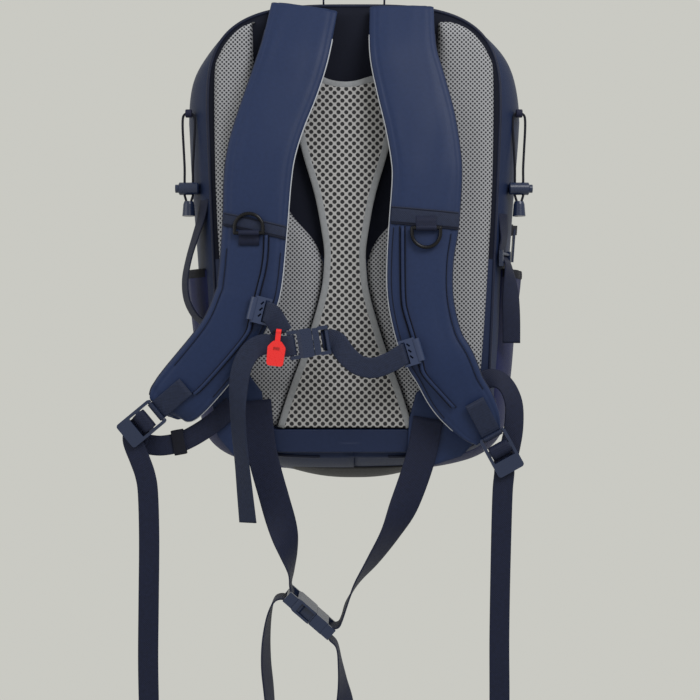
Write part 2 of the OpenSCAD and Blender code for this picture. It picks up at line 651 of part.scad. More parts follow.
module buckle_male(w, t, length) {
    mouth = 4;
    prong = body_w(w) - 5;
    thick = t - 4.8;
    barb = 12 - 0.41 * length;
    translate([length / 2, 0, 0]) rotate([0, 0, 180]) buckle_bar(w, t);
    translate([mouth + 0.6, -body_w(w) / 2 + 0.8, -t / 2 + 0.6])
        cube([length / 2 - mouth - 8, body_w(w) - 1.6, t - 1.2]);
    translate([-length / 2 + 12.5, -1.8, -thick / 2]) cube([length / 2 + mouth - 11.5, 3.6, thick]);
    translate([0, 0, -thick / 2]) linear_extrude(thick) for (side = [0, 1]) mirror([0, side])
        polygon([[mouth + 1, prong / 2 - 0.5], [mouth + 1, prong / 2 - 4.5],
            [-length / 2 + 15, prong / 2 - 4], [-length / 2 + 12, prong / 2 - 2.6],
            [-length / 2 + 13, prong / 2 - 0.4], [barb, prong / 2],
            [barb + 2, prong / 2 - 2]]);
}

hip_at = carried(hip_left)[0] - hip_left[0];
module at_hip_buckle() {
    translate([-44 + hip_at.x, -24, -654 + hip_at.z]) rotate([0, 40.9, 0]) children();
}
hip_buckle = [hip_w, 14, 54];

module hip_female() {
    color([0.06, 0.07, 0.12]) at_hip_buckle()
        buckle_female(hip_buckle.x, hip_buckle.y, hip_buckle.z);
}

module hip_male() {
    color([0.06, 0.07, 0.12]) at_hip_buckle()
        buckle_male(hip_buckle.x, hip_buckle.y, hip_buckle.z);
}

// ---- Sternum strap ----
strap_y = rail_y - 5;
buckle_at = place([-43.5, strap_y, -387]);
sternum_buckle = [webbing_w, 8.5, 36];
module at_sternum_buckle() {
    translate(buckle_at) rotate([90, 0, 0]) rotate([0, 0, 9]) children();
}

module sternum_female() {
    color([0.06, 0.07, 0.12]) at_sternum_buckle()
        buckle_female(sternum_buckle.x, sternum_buckle.y, sternum_buckle.z);
}

module sternum_male() {
    color([0.06, 0.07, 0.12]) at_sternum_buckle()
        buckle_male(sternum_buckle.x, sternum_buckle.y, sternum_buckle.z);
}

// Slider that runs on a rail; side is 1 when its strap leaves towards +X
slider_left = place([-97, rail_y, -354]);
slider_right = place([60.8, rail_y, -394]);
rail_lean_left = atan(0.25);
rail_lean_right = -atan(0.3);
module rail_slider(at, lean, side) {
    color([0.1, 0.13, 0.24]) translate(at) rotate([0, lean, 0]) scale([side, 1, 1])
        difference() {
            union() {
                translate([0, 0.4, -11]) linear_extrude(22) difference() {
                    translate([-1, -2.2]) circle(rail_r + 2.6, $fn = 48);
                    translate([-8, 1.2]) square([16, 6]);
                }
                translate([0, -4.6, -13]) cube([16, 3.2, 26]);
            }
            translate([0, 0, -20]) cylinder(h = 40, r = rail_r + 0.7, $fn = 48);
            translate([-rail_r - 0.2, 0, -20]) cube([2 * rail_r + 0.4, 6, 40]);
            translate([9.8, -8, -webbing_w / 2 - 0.8]) cube([4, 10, webbing_w + 1.6]);
            for (k = [-1 : 1]) translate([5.4, -8, 6 * k]) rotate([0, 35, 0]) cube([1.6, 10, 4]);
        }
}

module rail_slider_left() {
    rail_slider(slider_left, rail_lean_left, 1);
}

module rail_slider_right() {
    rail_slider(slider_right, rail_lean_right, -1);
}

chest_left = [[-85.8, rail_y - 0.6, -356.8, 0.24, 0, 0.97],
    [-85.6, rail_y - 4, -356.8, 0.24, 0, 0.97], [-83.9, rail_y - 6.4, -357.3, 0.24, 0, 0.97],
    [-79.5, strap_y - 1.2, -359.8, 0.45, 0, 0.89], [-75, strap_y + 0.6, -366.5, 0.6, 0, 0.8],
    [-71.5, strap_y + 1.5, -373, 0.64, 0, 0.77], [-68.5, strap_y + 1.7, -377.8, 0.64, 0, 0.77]];
chest_tail = [[-74, strap_y + 3.6, -391.8, 0.156, 0, -0.988],
    [-68, strap_y + 3.5, -390.9, 0.156, 0, -0.988], [-61.3, strap_y + 3.4, -389.8, 0.156, 0, -0.988],
    [-58.4, strap_y + 2.8, -389.3, 0.156, 0, -0.988], [-57.2, strap_y + 1.2, -389.2, 0.156, 0, -0.988],
    [-57.2, strap_y - 1.2, -389.2, 0.156, 0, -0.988], [-58.4, strap_y - 2.8, -389.3, 0.156, 0, -0.988],
    [-61.3, strap_y - 3.5, -389.8, 0.156, 0, -0.988], [-66, strap_y - 3.8, -390.4, 0.1, 0, -1],
    [-76, strap_y - 3.8, -389.8, 0, 0, -1], [-88, strap_y - 2.4, -388.8, 0.3, 0, -1],
    [-99, strap_y - 2, -395, 0.7, -0.1, -0.6], [-107, strap_y - 1.8, -408, 0.9, -0.2, -0.3],
    [-111, strap_y - 1, -426, 0.95, -0.3, -0.1], [-112.3, strap_y + 2, -450, 0.8, -0.6, 0],
    [-111.5, strap_y + 8, -475, 0.8, -0.7, 0], [-109, strap_y + 13, -505, 0.8, -0.7, 0],
    [-106.5, strap_y + 17, -535, 0.85, -0.6, 0], [-104, strap_y + 20, -563, 0.9, -0.5, 0]];
chest_right = [[-30.3, strap_y, -384.9, -0.156, 0, 0.988],
    [-30.3, strap_y + 1.2, -384.9, -0.156, 0, 0.988], [-29.1, strap_y + 2.8, -384.7, -0.156, 0, 0.988],
    [-25.7, strap_y + 4.1, -384.2, -0.156, 0, 0.988], [-21.5, strap_y + 4.8, -384, 0, 0, 1],
    [-16, strap_y + 4.6, -387, 0.55, 0, 0.83], [-10, strap_y + 2.8, -395.7, 0.75, 0, 0.66],
    [-3, strap_y + 0.3, -403.3, 0.65, 0, 0.76], [6, strap_y - 0.5, -409.3, 0.3, 0, 0.95],
    [20, strap_y - 0.8, -411, 0, 0, 1], [36, strap_y - 1.2, -405, -0.4, 0, 0.92],
    [44.2, strap_y - 1.6, -399.9, -0.35, 0, 0.94], [47.9, rail_y - 6.4, -398, -0.29, 0, 0.96],
    [49.6, rail_y - 4, -397.4, -0.29, 0, 0.96], [49.8, rail_y - 0.6, -397.3, -0.29, 0, 0.96]];

module sternum_webbing_left() {
    color([0.09, 0.11, 0.22])
        webbing([for (p = chest_left) concat(place(xyz(p)), [p[3], p[4], p[5]])], webbing_w);
}

module sternum_webbing_right() {
    color([0.09, 0.11, 0.22])
        webbing([for (p = chest_right) concat(place(xyz(p)), [p[3], p[4], p[5]])], webbing_w);
}

module sternum_tail() {
    color([0.07, 0.09, 0.18])
        webbing([for (p = chest_tail) concat(place(xyz(p)), [p[3], p[4], p[5]])], webbing_w);
}

// Whistle that swings on a cord loop sewn to the strap's fixed end
whistle_at = place([-72, strap_y - 9.4, -376.5]);
whistle_bore = 1.3;
whistle_lug = 5;
module whistle() {
    color([0.85, 0.06, 0.06]) translate(whistle_at) rotate([0, 7, 0]) difference() {
        union() {
            rotate([0, 90, 0]) cylinder(h = whistle_lug, r = 2.6, center = true, $fn = 32);
            translate([-whistle_lug / 2, -2, -10]) cube([whistle_lug, 4, 10]);
            translate([0, 4, -13]) rotate([90, 0, 0]) linear_extrude(8)
                offset(3, $fn = 24)
                    polygon([[-2.4, 1], [2.4, 1], [5.6, -3], [5, -17], [-5, -17], [-5.6, -3]]);
        }
        rotate([0, 90, 0]) cylinder(h = 30, r = whistle_bore, center = true, $fn = 32);
        translate([-3, -5, -18]) cube([6, 4, 3]);
    }
}

module whistle_loop() {
    reach = whistle_lug / 2 + 2;
    r = whistle_bore - pin_gap;
    back = strap_y + 0.1 - whistle_at.y;
    color([0.09, 0.11, 0.22]) translate(whistle_at) rotate([0, 7, 0]) {
        rotate([0, 90, 0]) cylinder(h = 2 * reach, r = r, center = true, $fn = 32);
        for (side = [-1, 1]) translate([side * reach, 0, 0]) {
            sphere(r, $fn = 32);
            rotate([-90, 0, 0]) cylinder(h = back, r = r, $fn = 32);
        }
    }
}

// ---- Sides ----
pocket_top = side_v(place_z(-312));
pocket_low = 0.93;
pocket_back = 0.07;
pocket_front = 0.78;
// Share of the fullness at v and t; it dies out at the sewn edges
function fullness(v, t) =
    let (down = (abs(v) - pocket_top) / (pocket_low - pocket_top),
         through = (t - pocket_back) / (pocket_front - pocket_back))
    pow(sin(180 * through), 0.7) * pow(max(0, 1 - down), 0.8);

module side_pocket(side) {
    low = function (v, t) gap + pocket_full * fullness(v, t);
    high = function (v, t) gap + pocket_t + pocket_full * fullness(v, t);
    color([0.15, 0.18, 0.42]) patch(
        [for (i = [0 : 16]) side * (pocket_top + (pocket_low - pocket_top) * i / 16)],
        [for (k = [0 : 12]) pocket_back + (pocket_front - pocket_back) * k / 12], low, high);
}

// Compression straps cross the side between the back seam and the pocket
squeeze_left = [[-152.5, 10, -240, -0.61, 0.79, 0], [-155.5, 9.5, -258, -0.55, 0.83, 0],
    [-161.5, 9, -278, -0.5, 0.86, 0], [-168, 8.5, -300, -0.45, 0.89, 0],
    [-172, 8.5, -322, -0.45, 0.89, 0], [-170.5, 9, -342, -0.45, 0.89, 0],
    [-163, 10, -358, -0.5, 0.86, 0], [-153, 11, -367, -0.61, 0.79, 0]];
lock_turn = 63;
squeeze_lock = [154, 8, -301];
squeeze_right = [[152, 10, -255, 0.61, 0.79, 0], [153, 9.6, -270, 0.55, 0.83, 0],
    [153, 9.4, -281, 0.45, 0.89, 0], [151.6, 9.4, -289, 0.45, 0.89, 0],
    [151.2, 9.4, -296, 0.45, 0.89, 0], [154, 8, -301, 0.45, 0.89, 0],
    [156.8, 6.6, -306, 0.45, 0.89, 0], [158, 5.5, -315, 0.6, 0.8, 0],
    [159, 4.5, -330, 0.85, 0.5, 0], [159.5, 4, -345, 1, 0.2, 0], [160, 4, -365, 1, 0, 0],
    [160, 4, -387, 1, 0, 0]];

module compression_strap_left() {
    color([0.09, 0.11, 0.22]) webbing(carried(squeeze_left), webbing_w - 2);
}

module compression_strap_right() {
    color([0.09, 0.11, 0.22]) webbing(carried(squeeze_right), webbing_w - 2);
}

// Two bars in a frame; the strap passes behind the upper one and in front of the lower one
module compression_locks() {
    shift = carried(squeeze_right)[0] - squeeze_right[0];
    arm = (webbing_w - 2) / 2 + 1;
    color([0.05, 0.05, 0.07]) translate(squeeze_lock + [shift.x, 0, shift.z])
        rotate([0, 0, lock_turn]) {
            for (z = [-4.6, 4.6]) translate([0, 0, z])
                rotate([0, 90, 0]) cylinder(h = 2 * arm + 2, r = 1.6, center = true, $fn = 32);
            for (side = [-1, 1]) translate([side * (arm + 1.2) - 1.2, -2, -8]) cube([2.4, 4, 16]);
        }
}

// ---- Elastic cords with their locks ----
// The cord hangs from a tab on the side seam; both strands pass the lock into the bell.
bungee_y = 13;
strand = 4.25;
bungee_at = [for (side = [-1, 1]) place([side * 169, bungee_y, -152])];
lock_drop = 77;
lock_r = 6.4;
lock_l = 21;
tab_l = 6.4;

module cord_tabs() {
    color([0.09, 0.11, 0.22]) for (at = bungee_at) {
        inner = abs(at.x) - tab_l / 2 + gap;
        wall = depth(at.z) * (1 - pow((bag_w / 2 - inner) / 26, 1 / 3)) / 2;
        translate(at) difference() {
            union() {
                rotate([0, 90, 0]) cylinder(h = tab_l, r = 4.4, center = true, $fn = 40);
                translate([-tab_l / 2, 0, -1.5]) cube([tab_l, wall - gap - at.y, 3]);
            }
            rotate([0, 90, 0]) cylinder(h = tab_l + 2, r = 2.4, center = true, $fn = 40);
        }
    }
}

// Hanging loop in the XZ plane, through its tab and down into the bell
module bungee(side) {
    at = bungee_at[side > 0 ? 1 : 0];
    leg = [[2.2, -lock_drop - 18], [2.6, -lock_drop - 12.5], [strand, -lock_drop - 6.5],
        [strand, -lock_drop], [strand, -lock_drop + 10], [strand, -55], [strand + 1, -35],
        [strand + 2, -15], [strand + 1.6, -4], [3.2, -0.4]];
    color([0.05, 0.05, 0.07]) round_cord([for (p = concat(
        [for (p = leg) [-p.x, p.y]], [[0, 0]], flipped(leg))) at + [p.x, 0, p.y]], bungee_d, 3);
}

// Barrel with two cross holes for the strands and a blind bore for the button
button_r = 4.2;
module cord_lock(side) {
    at = bungee_at[side > 0 ? 1 : 0] - [0, 0, lock_drop];
    color([0.07, 0.07, 0.1]) translate(at) rotate([0, 0, 90 * side]) difference() {
        intersection() {
            rotate([90, 0, 0]) cylinder(h = lock_l, r = lock_r, center = true, $fn = 48);
            sphere(r = lock_l / 2 + 0.8, $fn = 64);
        }
        for (y = [-strand, strand]) translate([0, y, 0])
            cylinder(h = 20, r = bungee_d / 2 + 0.5, center = true, $fn = 32);
        translate([0, -lock_l, 0]) rotate([-90, 0, 0])
            cylinder(h = 1.5 * lock_l - 2.5, r = button_r + pin_gap, $fn = 48);
    }
}

module cord_button(side) {
    at = bungee_at[side > 0 ? 1 : 0] - [0, 0, lock_drop];
    hole = bungee_d + 1;
    color([0.05, 0.05, 0.07]) translate(at) rotate([0, 0, 90 * side]) difference() {
        translate([0, -lock_l / 2 - button_travel, 0]) rotate([-90, 0, 0])
            cylinder(h = lock_l - 2.5 - gap, r = button_r, $fn = 48);
        for (y = [-strand, strand]) hull() for (slip = [0, -button_travel])
            translate([0, y + slip, 0]) cylinder(h = 20, r = hole / 2, center = true, $fn = 24);
    }
}

module cord_bells() {
    color([0.05, 0.05, 0.07]) for (at = bungee_at)
        translate([at.x, at.y, at.z - lock_drop - 28]) difference() {
            union() {
                cylinder(h = 12, r1 = 6.6, r2 = 5.6, $fn = 48);
                translate([0, 0, 12]) cylinder(h = 3, r1 = 5.6, r2 = 4.6, $fn = 48);
            }
            translate([0, 0, 8]) cylinder(h = 10, r = 4.1, $fn = 40);
        }
}

// ---- Bottom and front ----
// Loops low on the front that hold trekking poles
pole_x = 45;
pole_r = 12;
pole_w = 15;
module pole_loops() {
    z = base_z + 36;
    color([0.05, 0.06, 0.1]) for (x = [-pole_x, pole_x])
        translate([x, depth(z) + gap, z]) rotate([atan(slope), 0, 0]) rotate([90, 0, 90])
            difference() {
                scale([1, 1.3]) cylinder(h = pole_w, r = pole_r, center = true, $fn = 40);
                scale([1, 1.3]) cylinder(h = pole_w + 2, r = pole_r - webbing_t, center = true, $fn = 40);
                translate([-30, -30, -10]) cube([30, 60, 20]);
            }
}

// Flat zipped pocket for the rain cover under the bag
module rain_pocket() {
    vs = [for (i = [0 : 10]) 0.938 + 0.124 * i / 10];
    function under(v, t, out) = v <= 1 ? skin(v, t, out)
        : let (p = skin(2 - v, t, out)) [-p.x, p.y, p.z];
    ts = [for (k = [0 : 6]) 0.12 + 0.12 * k];
    function sag(v, t) = 7 * sin(180 * (v - 0.938) / 0.124) * sin(180 * (t - 0.12) / 0.72);
    color([0.04, 0.04, 0.06]) loft([for (v = vs) concat(
        [for (t = ts) under(v, t, gap + 0.9)],
        flipped([for (t = ts) under(v, t, gap + 2.4 + sag(v, t))]))]);
}

// Open-topped stretch pocket on the lower front
module front_pocket() {
    high = fold_z - 12;
    low = high - front_pocket_h;
    xs = [for (i = [0 : 14]) -1 + i / 7];
    zs = [for (k = [0 : 8]) k / 8];
    function wide(k) = (half_base(1) - 8 + 8 * k);
    function at(u, k, out) = let (z = low + (high - low) * k, full = front_pocket_full
            * pow(max(0, cos(90 * u)), 0.8) * pow(sin(90 * k), 0.7))
        [u * wide(k), depth(z) + gap + out + full, z];
    color([0.12, 0.15, 0.3]) loft([for (u = xs) concat(
        [for (k = zs) at(u, k, 0)], flipped([for (k = zs) at(u, k, pocket_t)]))]);
}

bag_shell();
frame_sheet();
frame_wire();
hydration_sleeve();
rim_piping();
back_pad(-1);  // back_pad_left
back_pad(1);  // back_pad_right
mesh_panel();
mesh_binding();
lumbar_strip();
haul_loop();
shoulder_pad(pad_left);  // shoulder_pad_left
shoulder_pad(pad_right);  // shoulder_pad_right
sternum_rails();
strap_tabs();
shoulder_webbing_left();
shoulder_webbing_right();
shoulder_tail_left();
shoulder_tail_right();
webbing_keeper();
corner_wings();
hip_webbing_left();
hip_webbing_right();
side_pocket(-1);  // side_pocket_left
side_pocket(1);  // side_pocket_right
compression_strap_left();
compression_strap_right();
compression_locks();
cord_tabs();
bungee(-1);  // bungee_left
bungee(1);  // bungee_right
cord_bells();
zip_chain();
pole_loops();
rain_pocket();
front_pocket();
hip_female();
front_panel();
flap_zip_chain();
zip_slider();
zip_pull();
d_ring(ring_left, 1);  // d_ring_left
d_ring(ring_right, -1);  // d_ring_right
rail_slider_left();
rail_slider_right();
sternum_webbing_left();
sternum_webbing_right();
sternum_tail();
sternum_female();
sternum_male();
whistle_loop();
whistle();
hip_male();
ladder_lock(lock_left, lean_left);  // ladder_lock_left
ladder_lock(lock_right, lean_right);  // ladder_lock_right
cord_lock(-1);  // cord_lock_left
cord_lock(1);  // cord_lock_right
cord_button(-1);  // cord_button_left
cord_button(1);  // cord_button_right
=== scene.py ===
"""A ventilated hiking daypack: its looks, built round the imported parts. Lengths in metres."""
import math
import bpy
import numpy as np
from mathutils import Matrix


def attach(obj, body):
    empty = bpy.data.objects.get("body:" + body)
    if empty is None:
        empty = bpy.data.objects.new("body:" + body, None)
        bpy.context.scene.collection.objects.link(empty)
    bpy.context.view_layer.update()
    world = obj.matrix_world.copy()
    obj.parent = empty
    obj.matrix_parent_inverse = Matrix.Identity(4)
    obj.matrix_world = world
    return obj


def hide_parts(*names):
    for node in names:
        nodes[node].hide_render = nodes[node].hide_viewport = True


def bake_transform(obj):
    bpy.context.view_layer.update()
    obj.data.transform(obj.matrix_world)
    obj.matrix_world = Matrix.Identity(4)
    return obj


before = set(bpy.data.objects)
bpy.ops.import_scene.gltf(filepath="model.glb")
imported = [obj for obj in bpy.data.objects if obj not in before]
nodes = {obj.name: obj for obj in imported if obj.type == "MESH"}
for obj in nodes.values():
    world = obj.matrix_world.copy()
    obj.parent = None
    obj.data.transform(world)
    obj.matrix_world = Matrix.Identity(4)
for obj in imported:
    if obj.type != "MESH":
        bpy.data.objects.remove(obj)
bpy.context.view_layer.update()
scene = bpy.context.scene
MM = 0.001

# ---- Camera and daylight ----
# A soft pale room all round, with one large window light and a weak fill.
camera = bpy.data.objects.new("camera", bpy.data.cameras.new("camera"))
camera.data.lens = 61.71
camera.data.clip_start = 0.05
camera.location = (-0.004, -1.215, -0.394)
camera.rotation_euler = (math.pi / 2, 0, 0)
scene.collection.objects.link(camera)
scene.camera = camera
scene.render.resolution_x = scene.render.resolution_y = 700
scene.view_settings.view_transform = "Standard"
sky = bpy.data.worlds.new("sky")
sky.use_nodes = True
sky.node_tree.nodes["Background"].inputs["Color"].default_value = (0.62, 0.62, 0.575, 1)
sky.node_tree.nodes["Background"].inputs["Strength"].default_value = 0.95
scene.world = sky


def window_light(name, place, turn, size, power):
    """Square area lamp."""
    lamp = bpy.data.objects.new(name, bpy.data.lights.new(name, "AREA"))
    lamp.data.size, lamp.data.energy = size, power
    lamp.location, lamp.rotation_euler = place, turn
    scene.collection.objects.link(lamp)


window_light("window", (0.75, -1.1, 0.75), (math.radians(48), 0, math.radians(33)), 0.8, 17)
window_light("fill", (-1.3, -0.9, 0.2), (math.radians(70), 0, math.radians(-55)), 1.2, 6)


# ---- Webbing ----
# Woven nylon tape 20, 30 and 18 mm wide: the lower runs and hanging tails of the shoulder
# straps and the sternum strap, the hip belt, and the compression straps. It is sewn at one end
# and folded through its hardware.
def smooth(points, steps):
    """Catmull-Rom curve through the rows of points, steps spans between neighbours."""
    p = np.asarray(points, float)
    q = np.vstack([p[:1], p, p[-1:]])
    f = np.linspace(0, 1, steps, endpoint=False)[None, :, None]
    a, b, c, d = (q[k:len(p) - 1 + k][:, None, :] for k in range(4))
    curve = 0.5 * (2 * b + (c - a) * f + (2 * a - 5 * b + 4 * c - d) * f ** 2
                   + (3 * b - a - 3 * c + d) * f ** 3)
    return np.vstack([curve.reshape(-1, p.shape[1]), p[-1:]])


def rows_unit(v):
    """Rows of v scaled to length 1."""
    return v / np.maximum(np.linalg.norm(v, axis=-1, keepdims=True), 1e-9)


def surface(name, grid, finish, closed=False, caps=False, uv=None):
    """Mesh through a grid of points, rows by columns. closed joins the last column to the
    first, caps closes the first and last row. The UV map holds metres."""
    grid = np.asarray(grid, float)
    rows, cols = grid.shape[:2]
    i, j = np.meshgrid(np.arange(rows - 1), np.arange(cols if closed else cols - 1), indexing="ij")
    k = (j + 1) % cols
    quads = np.stack([i * cols + j, i * cols + k, (i + 1) * cols + k, (i + 1) * cols + j], -1)
    faces = quads.reshape(-1, 4).tolist()
    if caps:
        faces += [list(range(cols))[::-1], list(range((rows - 1) * cols, rows * cols))]
    flat = grid.reshape(-1, 3)
    if closed and caps:
        q = quads.reshape(-1, 4)
        a, b, c, d = (flat[q[:, n]] for n in range(4))
        volume = (np.cross(a, b) * c).sum() + (np.cross(a, c) * d).sum()
        if volume < 0:
            faces = [f[::-1] for f in faces]
    mesh = bpy.data.meshes.new(name)
    mesh.from_pydata(flat.tolist(), [], faces)
    if uv is None:
        du = np.linalg.norm(np.diff(grid, axis=1), axis=-1).mean(0)
        dv = np.linalg.norm(np.diff(grid, axis=0), axis=-1).mean(1)
        u = np.concatenate([[0], np.cumsum(du)])
        v = np.concatenate([[0], np.cumsum(dv)])
        uv = np.stack(np.meshgrid(u, v), -1)
    index = np.empty(len(mesh.loops), np.int32)
    mesh.loops.foreach_get("vertex_index", index)
    mesh.uv_layers.new(name="lay").data.foreach_set("uv", uv.reshape(-1, 2)[index].ravel())
    mesh.polygons.foreach_set("use_smooth", [True] * len(mesh.polygons))
    mesh.materials.append(finish)
    piece = bpy.data.objects.new(name, mesh)
    scene.collection.objects.link(piece)
    return piece


def node_group(name, inputs, outputs):
    """Empty shader group with float or vector inputs and float outputs."""
    tree = bpy.data.node_groups.new(name, "ShaderNodeTree")
    for label, kind in inputs:
        tree.interface.new_socket(label, in_out="INPUT", socket_type="NodeSocket" + kind)
    for label in outputs:
        tree.interface.new_socket(label, in_out="OUTPUT", socket_type="NodeSocketFloat")
    return tree, tree.nodes.new("NodeGroupInput"), tree.nodes.new("NodeGroupOutput")


def sums(tree, kind, a, b=None, clamp=False):
    """Math node; a and b are sockets or numbers."""
    n = tree.nodes.new("ShaderNodeMath")
    n.operation, n.use_clamp = kind, clamp
    for k, x in enumerate((a, b)):
        if x is not None:
            if isinstance(x, (int, float)):
                n.inputs[k].default_value = x
            else:
                tree.links.new(x, n.inputs[k])
    return n.outputs[0]


# Plain weave: threads over and under, with the pitch in metres along U and V
weave, weave_in, weave_out = node_group("weave", [("Vector", "Vector"), ("Pitch", "Float")],
                                        ["Height", "Shade"])
split = weave.nodes.new("ShaderNodeSeparateXYZ")
weave.links.new(weave_in.outputs["Vector"], split.inputs[0])
turn = [sums(weave, "SINE", sums(weave, "MULTIPLY", sums(
    weave, "DIVIDE", split.outputs[k], weave_in.outputs["Pitch"]), math.tau)) for k in range(2)]
over = sums(weave, "MULTIPLY", turn[0], turn[1])
weave.links.new(sums(weave, "ADD", sums(weave, "MULTIPLY", over, 0.5), 0.5), weave_out.inputs["Height"])
fleck = weave.nodes.new("ShaderNodeTexNoise")
fleck.inputs["Scale"].default_value = 260
weave.links.new(weave_in.outputs["Vector"], fleck.inputs["Vector"])
weave.links.new(sums(weave, "ADD", sums(weave, "MULTIPLY", fleck.outputs["Fac"], 0.5), sums(
    weave, "MULTIPLY", over, 0.12)), weave_out.inputs["Shade"])


def cloth(name, colour, rough=0.8, pitch=0.0009, relief=0.00012, sheen=0.02, dark=0.72):
    """Woven fabric on the piece's UV map: the weave shades the colour and raises the threads."""
    finish = bpy.data.materials.new(name)
    finish.use_nodes = True
    tree = finish.node_tree
    skin_shader = tree.nodes["Principled BSDF"]
    skin_shader.inputs["Roughness"].default_value = rough
    skin_shader.inputs["Sheen Weight"].default_value = sheen
    skin_shader.inputs["Specular IOR Level"].default_value = 0.22
    lay = tree.nodes.new("ShaderNodeUVMap")
    lay.uv_map = "lay"
    thread = tree.nodes.new("ShaderNodeGroup")
    thread.node_tree = weave
    thread.inputs["Pitch"].default_value = pitch
    tree.links.new(lay.outputs[0], thread.inputs["Vector"])
    mix = tree.nodes.new("ShaderNodeMix")
    mix.data_type = "RGBA"
    mix.inputs["A"].default_value = (*[c * dark for c in colour], 1)
    mix.inputs["B"].default_value = (*[min(1, c * (2 - dark)) for c in colour], 1)
    tree.links.new(thread.outputs["Shade"], mix.inputs["Factor"])
    tree.links.new(mix.outputs["Result"], skin_shader.inputs["Base Color"])
    bump = tree.nodes.new("ShaderNodeBump")
    bump.inputs["Distance"].default_value = relief
    bump.inputs["Strength"].default_value = 0.9
    tree.links.new(thread.outputs["Height"], bump.inputs["Height"])
    tree.links.new(bump.outputs[0], skin_shader.inputs["Normal"])
    return finish


def lens(count, width, thick, power):
    """Rounded flat outline: superellipse of the given width, thickness and power."""
    a = math.tau * (np.arange(count) + 0.5) / count
    c, s = np.cos(a), np.sin(a)
    return np.stack([width / 2 * np.sign(c) * abs(c) ** (2 / power),
                     thick / 2 * np.sign(s) * abs(s) ** (2 / power)], 1)


def swept(name, path, across, outline, finish):
    """Outline carried along path with its width towards across: each section stands square
    to the path's heading."""
    along = rows_unit(np.gradient(path, axis=0))
    side = rows_unit(across - (across * along).sum(1, keepdims=True) * along)
    face = np.cross(along, side)
    grid = (path[:, None] + outline[None, :, :1] * side[:, None]
            + outline[None, :, 1:] * face[:, None])
    run = np.concatenate([[0], np.cumsum(np.linalg.norm(np.diff(path, axis=0), axis=1))])
    uv = np.stack(np.broadcast_arrays(outline[None, :, 0], run[:, None]), -1)
    return surface(name, grid, finish, closed=True, caps=True, uv=uv)


def tape(name, points, width, thick, finish, body="bag", replaced=(), steps=6):
    """Flat tape along points of x, y, z and the way its width runs, in millimetres."""
    route = smooth(points, steps)
    path = route[:, :3] * MM
    piece = swept(name, path, route[:, 3:6], lens(14, width * MM, thick * MM, 5), finish)
    if body:
        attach(piece, body)
    if replaced:
        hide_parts(*replaced)
    return piece, path


nylon = cloth("nylon_webbing", (0.008, 0.0125, 0.04), 0.6, 0.0021, 0.00028, 0.02, 0.5)
chest_nylon = cloth("sternum_webbing", (0.016, 0.024, 0.058), 0.58, 0.0021, 0.00028, 0.02, 0.5)
cords = {}
lower_left = [
    [-120.5, -18.8, -448.5, .7, 0, -.7], [-132, -20, -460, .67, 0, -.75],
    [-149, -22, -473, .54, 0, -.84], [-170, -25, -484.5, .3, 0, -.95], [-189, -27.5, -488.5, 0, 0, -1],
    [-203, -28.5, -487.5, .2, 0, -1], [-210, -30, -486, .5, 0, -.86], [-212, -33.2, -484, .61, 0, -.79],
    [-211.5, -36, -480, .8, 0, -.6], [-210.5, -37, -473.5, .8, 0, -.6],
    [-208, -38.3, -466.4, .64, 0, -.77], [-204.5, -40.4, -463.5, .64, 0, -.77],
    [-201.1, -41.6, -460.6, .64, 0, -.77], [-200.1, -43.6, -459.9, .64, 0, -.77],
    [-200.1, -44.6, -459.9, .64, 0, -.77]]
tail_left = [
    [-200.1, -45.2, -459.9, .64, 0, -.77], [-200.1, -46.4, -459.9, .64, 0, -.77],
    [-201.5, -48.7, -461, .64, 0, -.77], [-204.2, -49.3, -463.2, .64, 0, -.77],
    [-206.8, -48.7, -465.4, .64, 0, -.77], [-209, -45, -467.3, .64, 0, -.77],
    [-209.8, -41.9, -468.1, .64, 0, -.77], [-212.3, -40.4, -470.3, .65, 0, -.76],
    [-215, -40.2, -473.7, .84, 0, -.54], [-216.6, -40.2, -478, .97, 0, -.22],
    [-216.4, -40.4, -483.5, .98, 0, .2], [-213.9, -40.6, -491, .93, 0, .36],
    [-209, -40.8, -503, .92, 0, .38], [-204.3, -40.6, -517, .95, 0, .3],
    [-201.8, -40, -535, .99, 0, .1], [-201, -38, -580, 1, .05, 0], [-202, -35, -640, 1, .1, 0],
    [-203, -32, -700, 1, .05, 0], [-202.5, -30, -750, 1, 0, 0], [-202, -28, -790, 1, 0, 0]]
lower_right = [
    [106, -18.8, -440, -.63, 0, .78], [121, -20.5, -428.5, -.45, .1, .88], [137, -22.5, -422, 0, .35, .93],
    [150, -24.5, -428, .55, .5, .6], [158, -26.5, -446, .9, .4, .2], [158, -27.5, -470, .98, .2, -.1],
    [154, -28, -492, .97, 0, -.2], [150.5, -29, -505, .98, 0, -.1], [149.5, -32, -509.5, .99, 0, .13],
    [148.5, -35, -507, .95, 0, .3], [147.2, -36.6, -500.3, .88, 0, .48],
    [144.3, -38.3, -495, .88, 0, .48], [142.1, -40.4, -491.1, .88, 0, .48],
    [140, -41.6, -487.1, .88, 0, .48], [139.4, -43.6, -486.1, .88, 0, .48],
    [139.4, -44.6, -486.1, .88, 0, .48]]
tail_right = [
    [139.4, -45.2, -486.1, .88, 0, .48], [139.4, -46.4, -486.1, .88, 0, .48],
    [140.2, -48.7, -487.6, .88, 0, .48], [141.9, -49.3, -490.7, .88, 0, .48],
    [143.6, -48.7, -493.7, .88, 0, .48], [145, -45, -496.3, .88, 0, .48],
    [145.8, -41.6, -497.8, .9, 0, .43], [146.8, -40.4, -503, .97, 0, .25], [147, -40.8, -514, 1, 0, 0],
    [145.5, -40.8, -530, 1, 0, 0], [144.5, -40, -560, 1, 0, 0], [143.5, -37, -620, 1, .1, 0],
    [143, -34, -680, 1, .1, 0], [143.5, -31, -740, 1, 0, 0], [143, -29, -790, 1, 0, 0]]
GAP, PIN_GAP = 0.3, 0.1
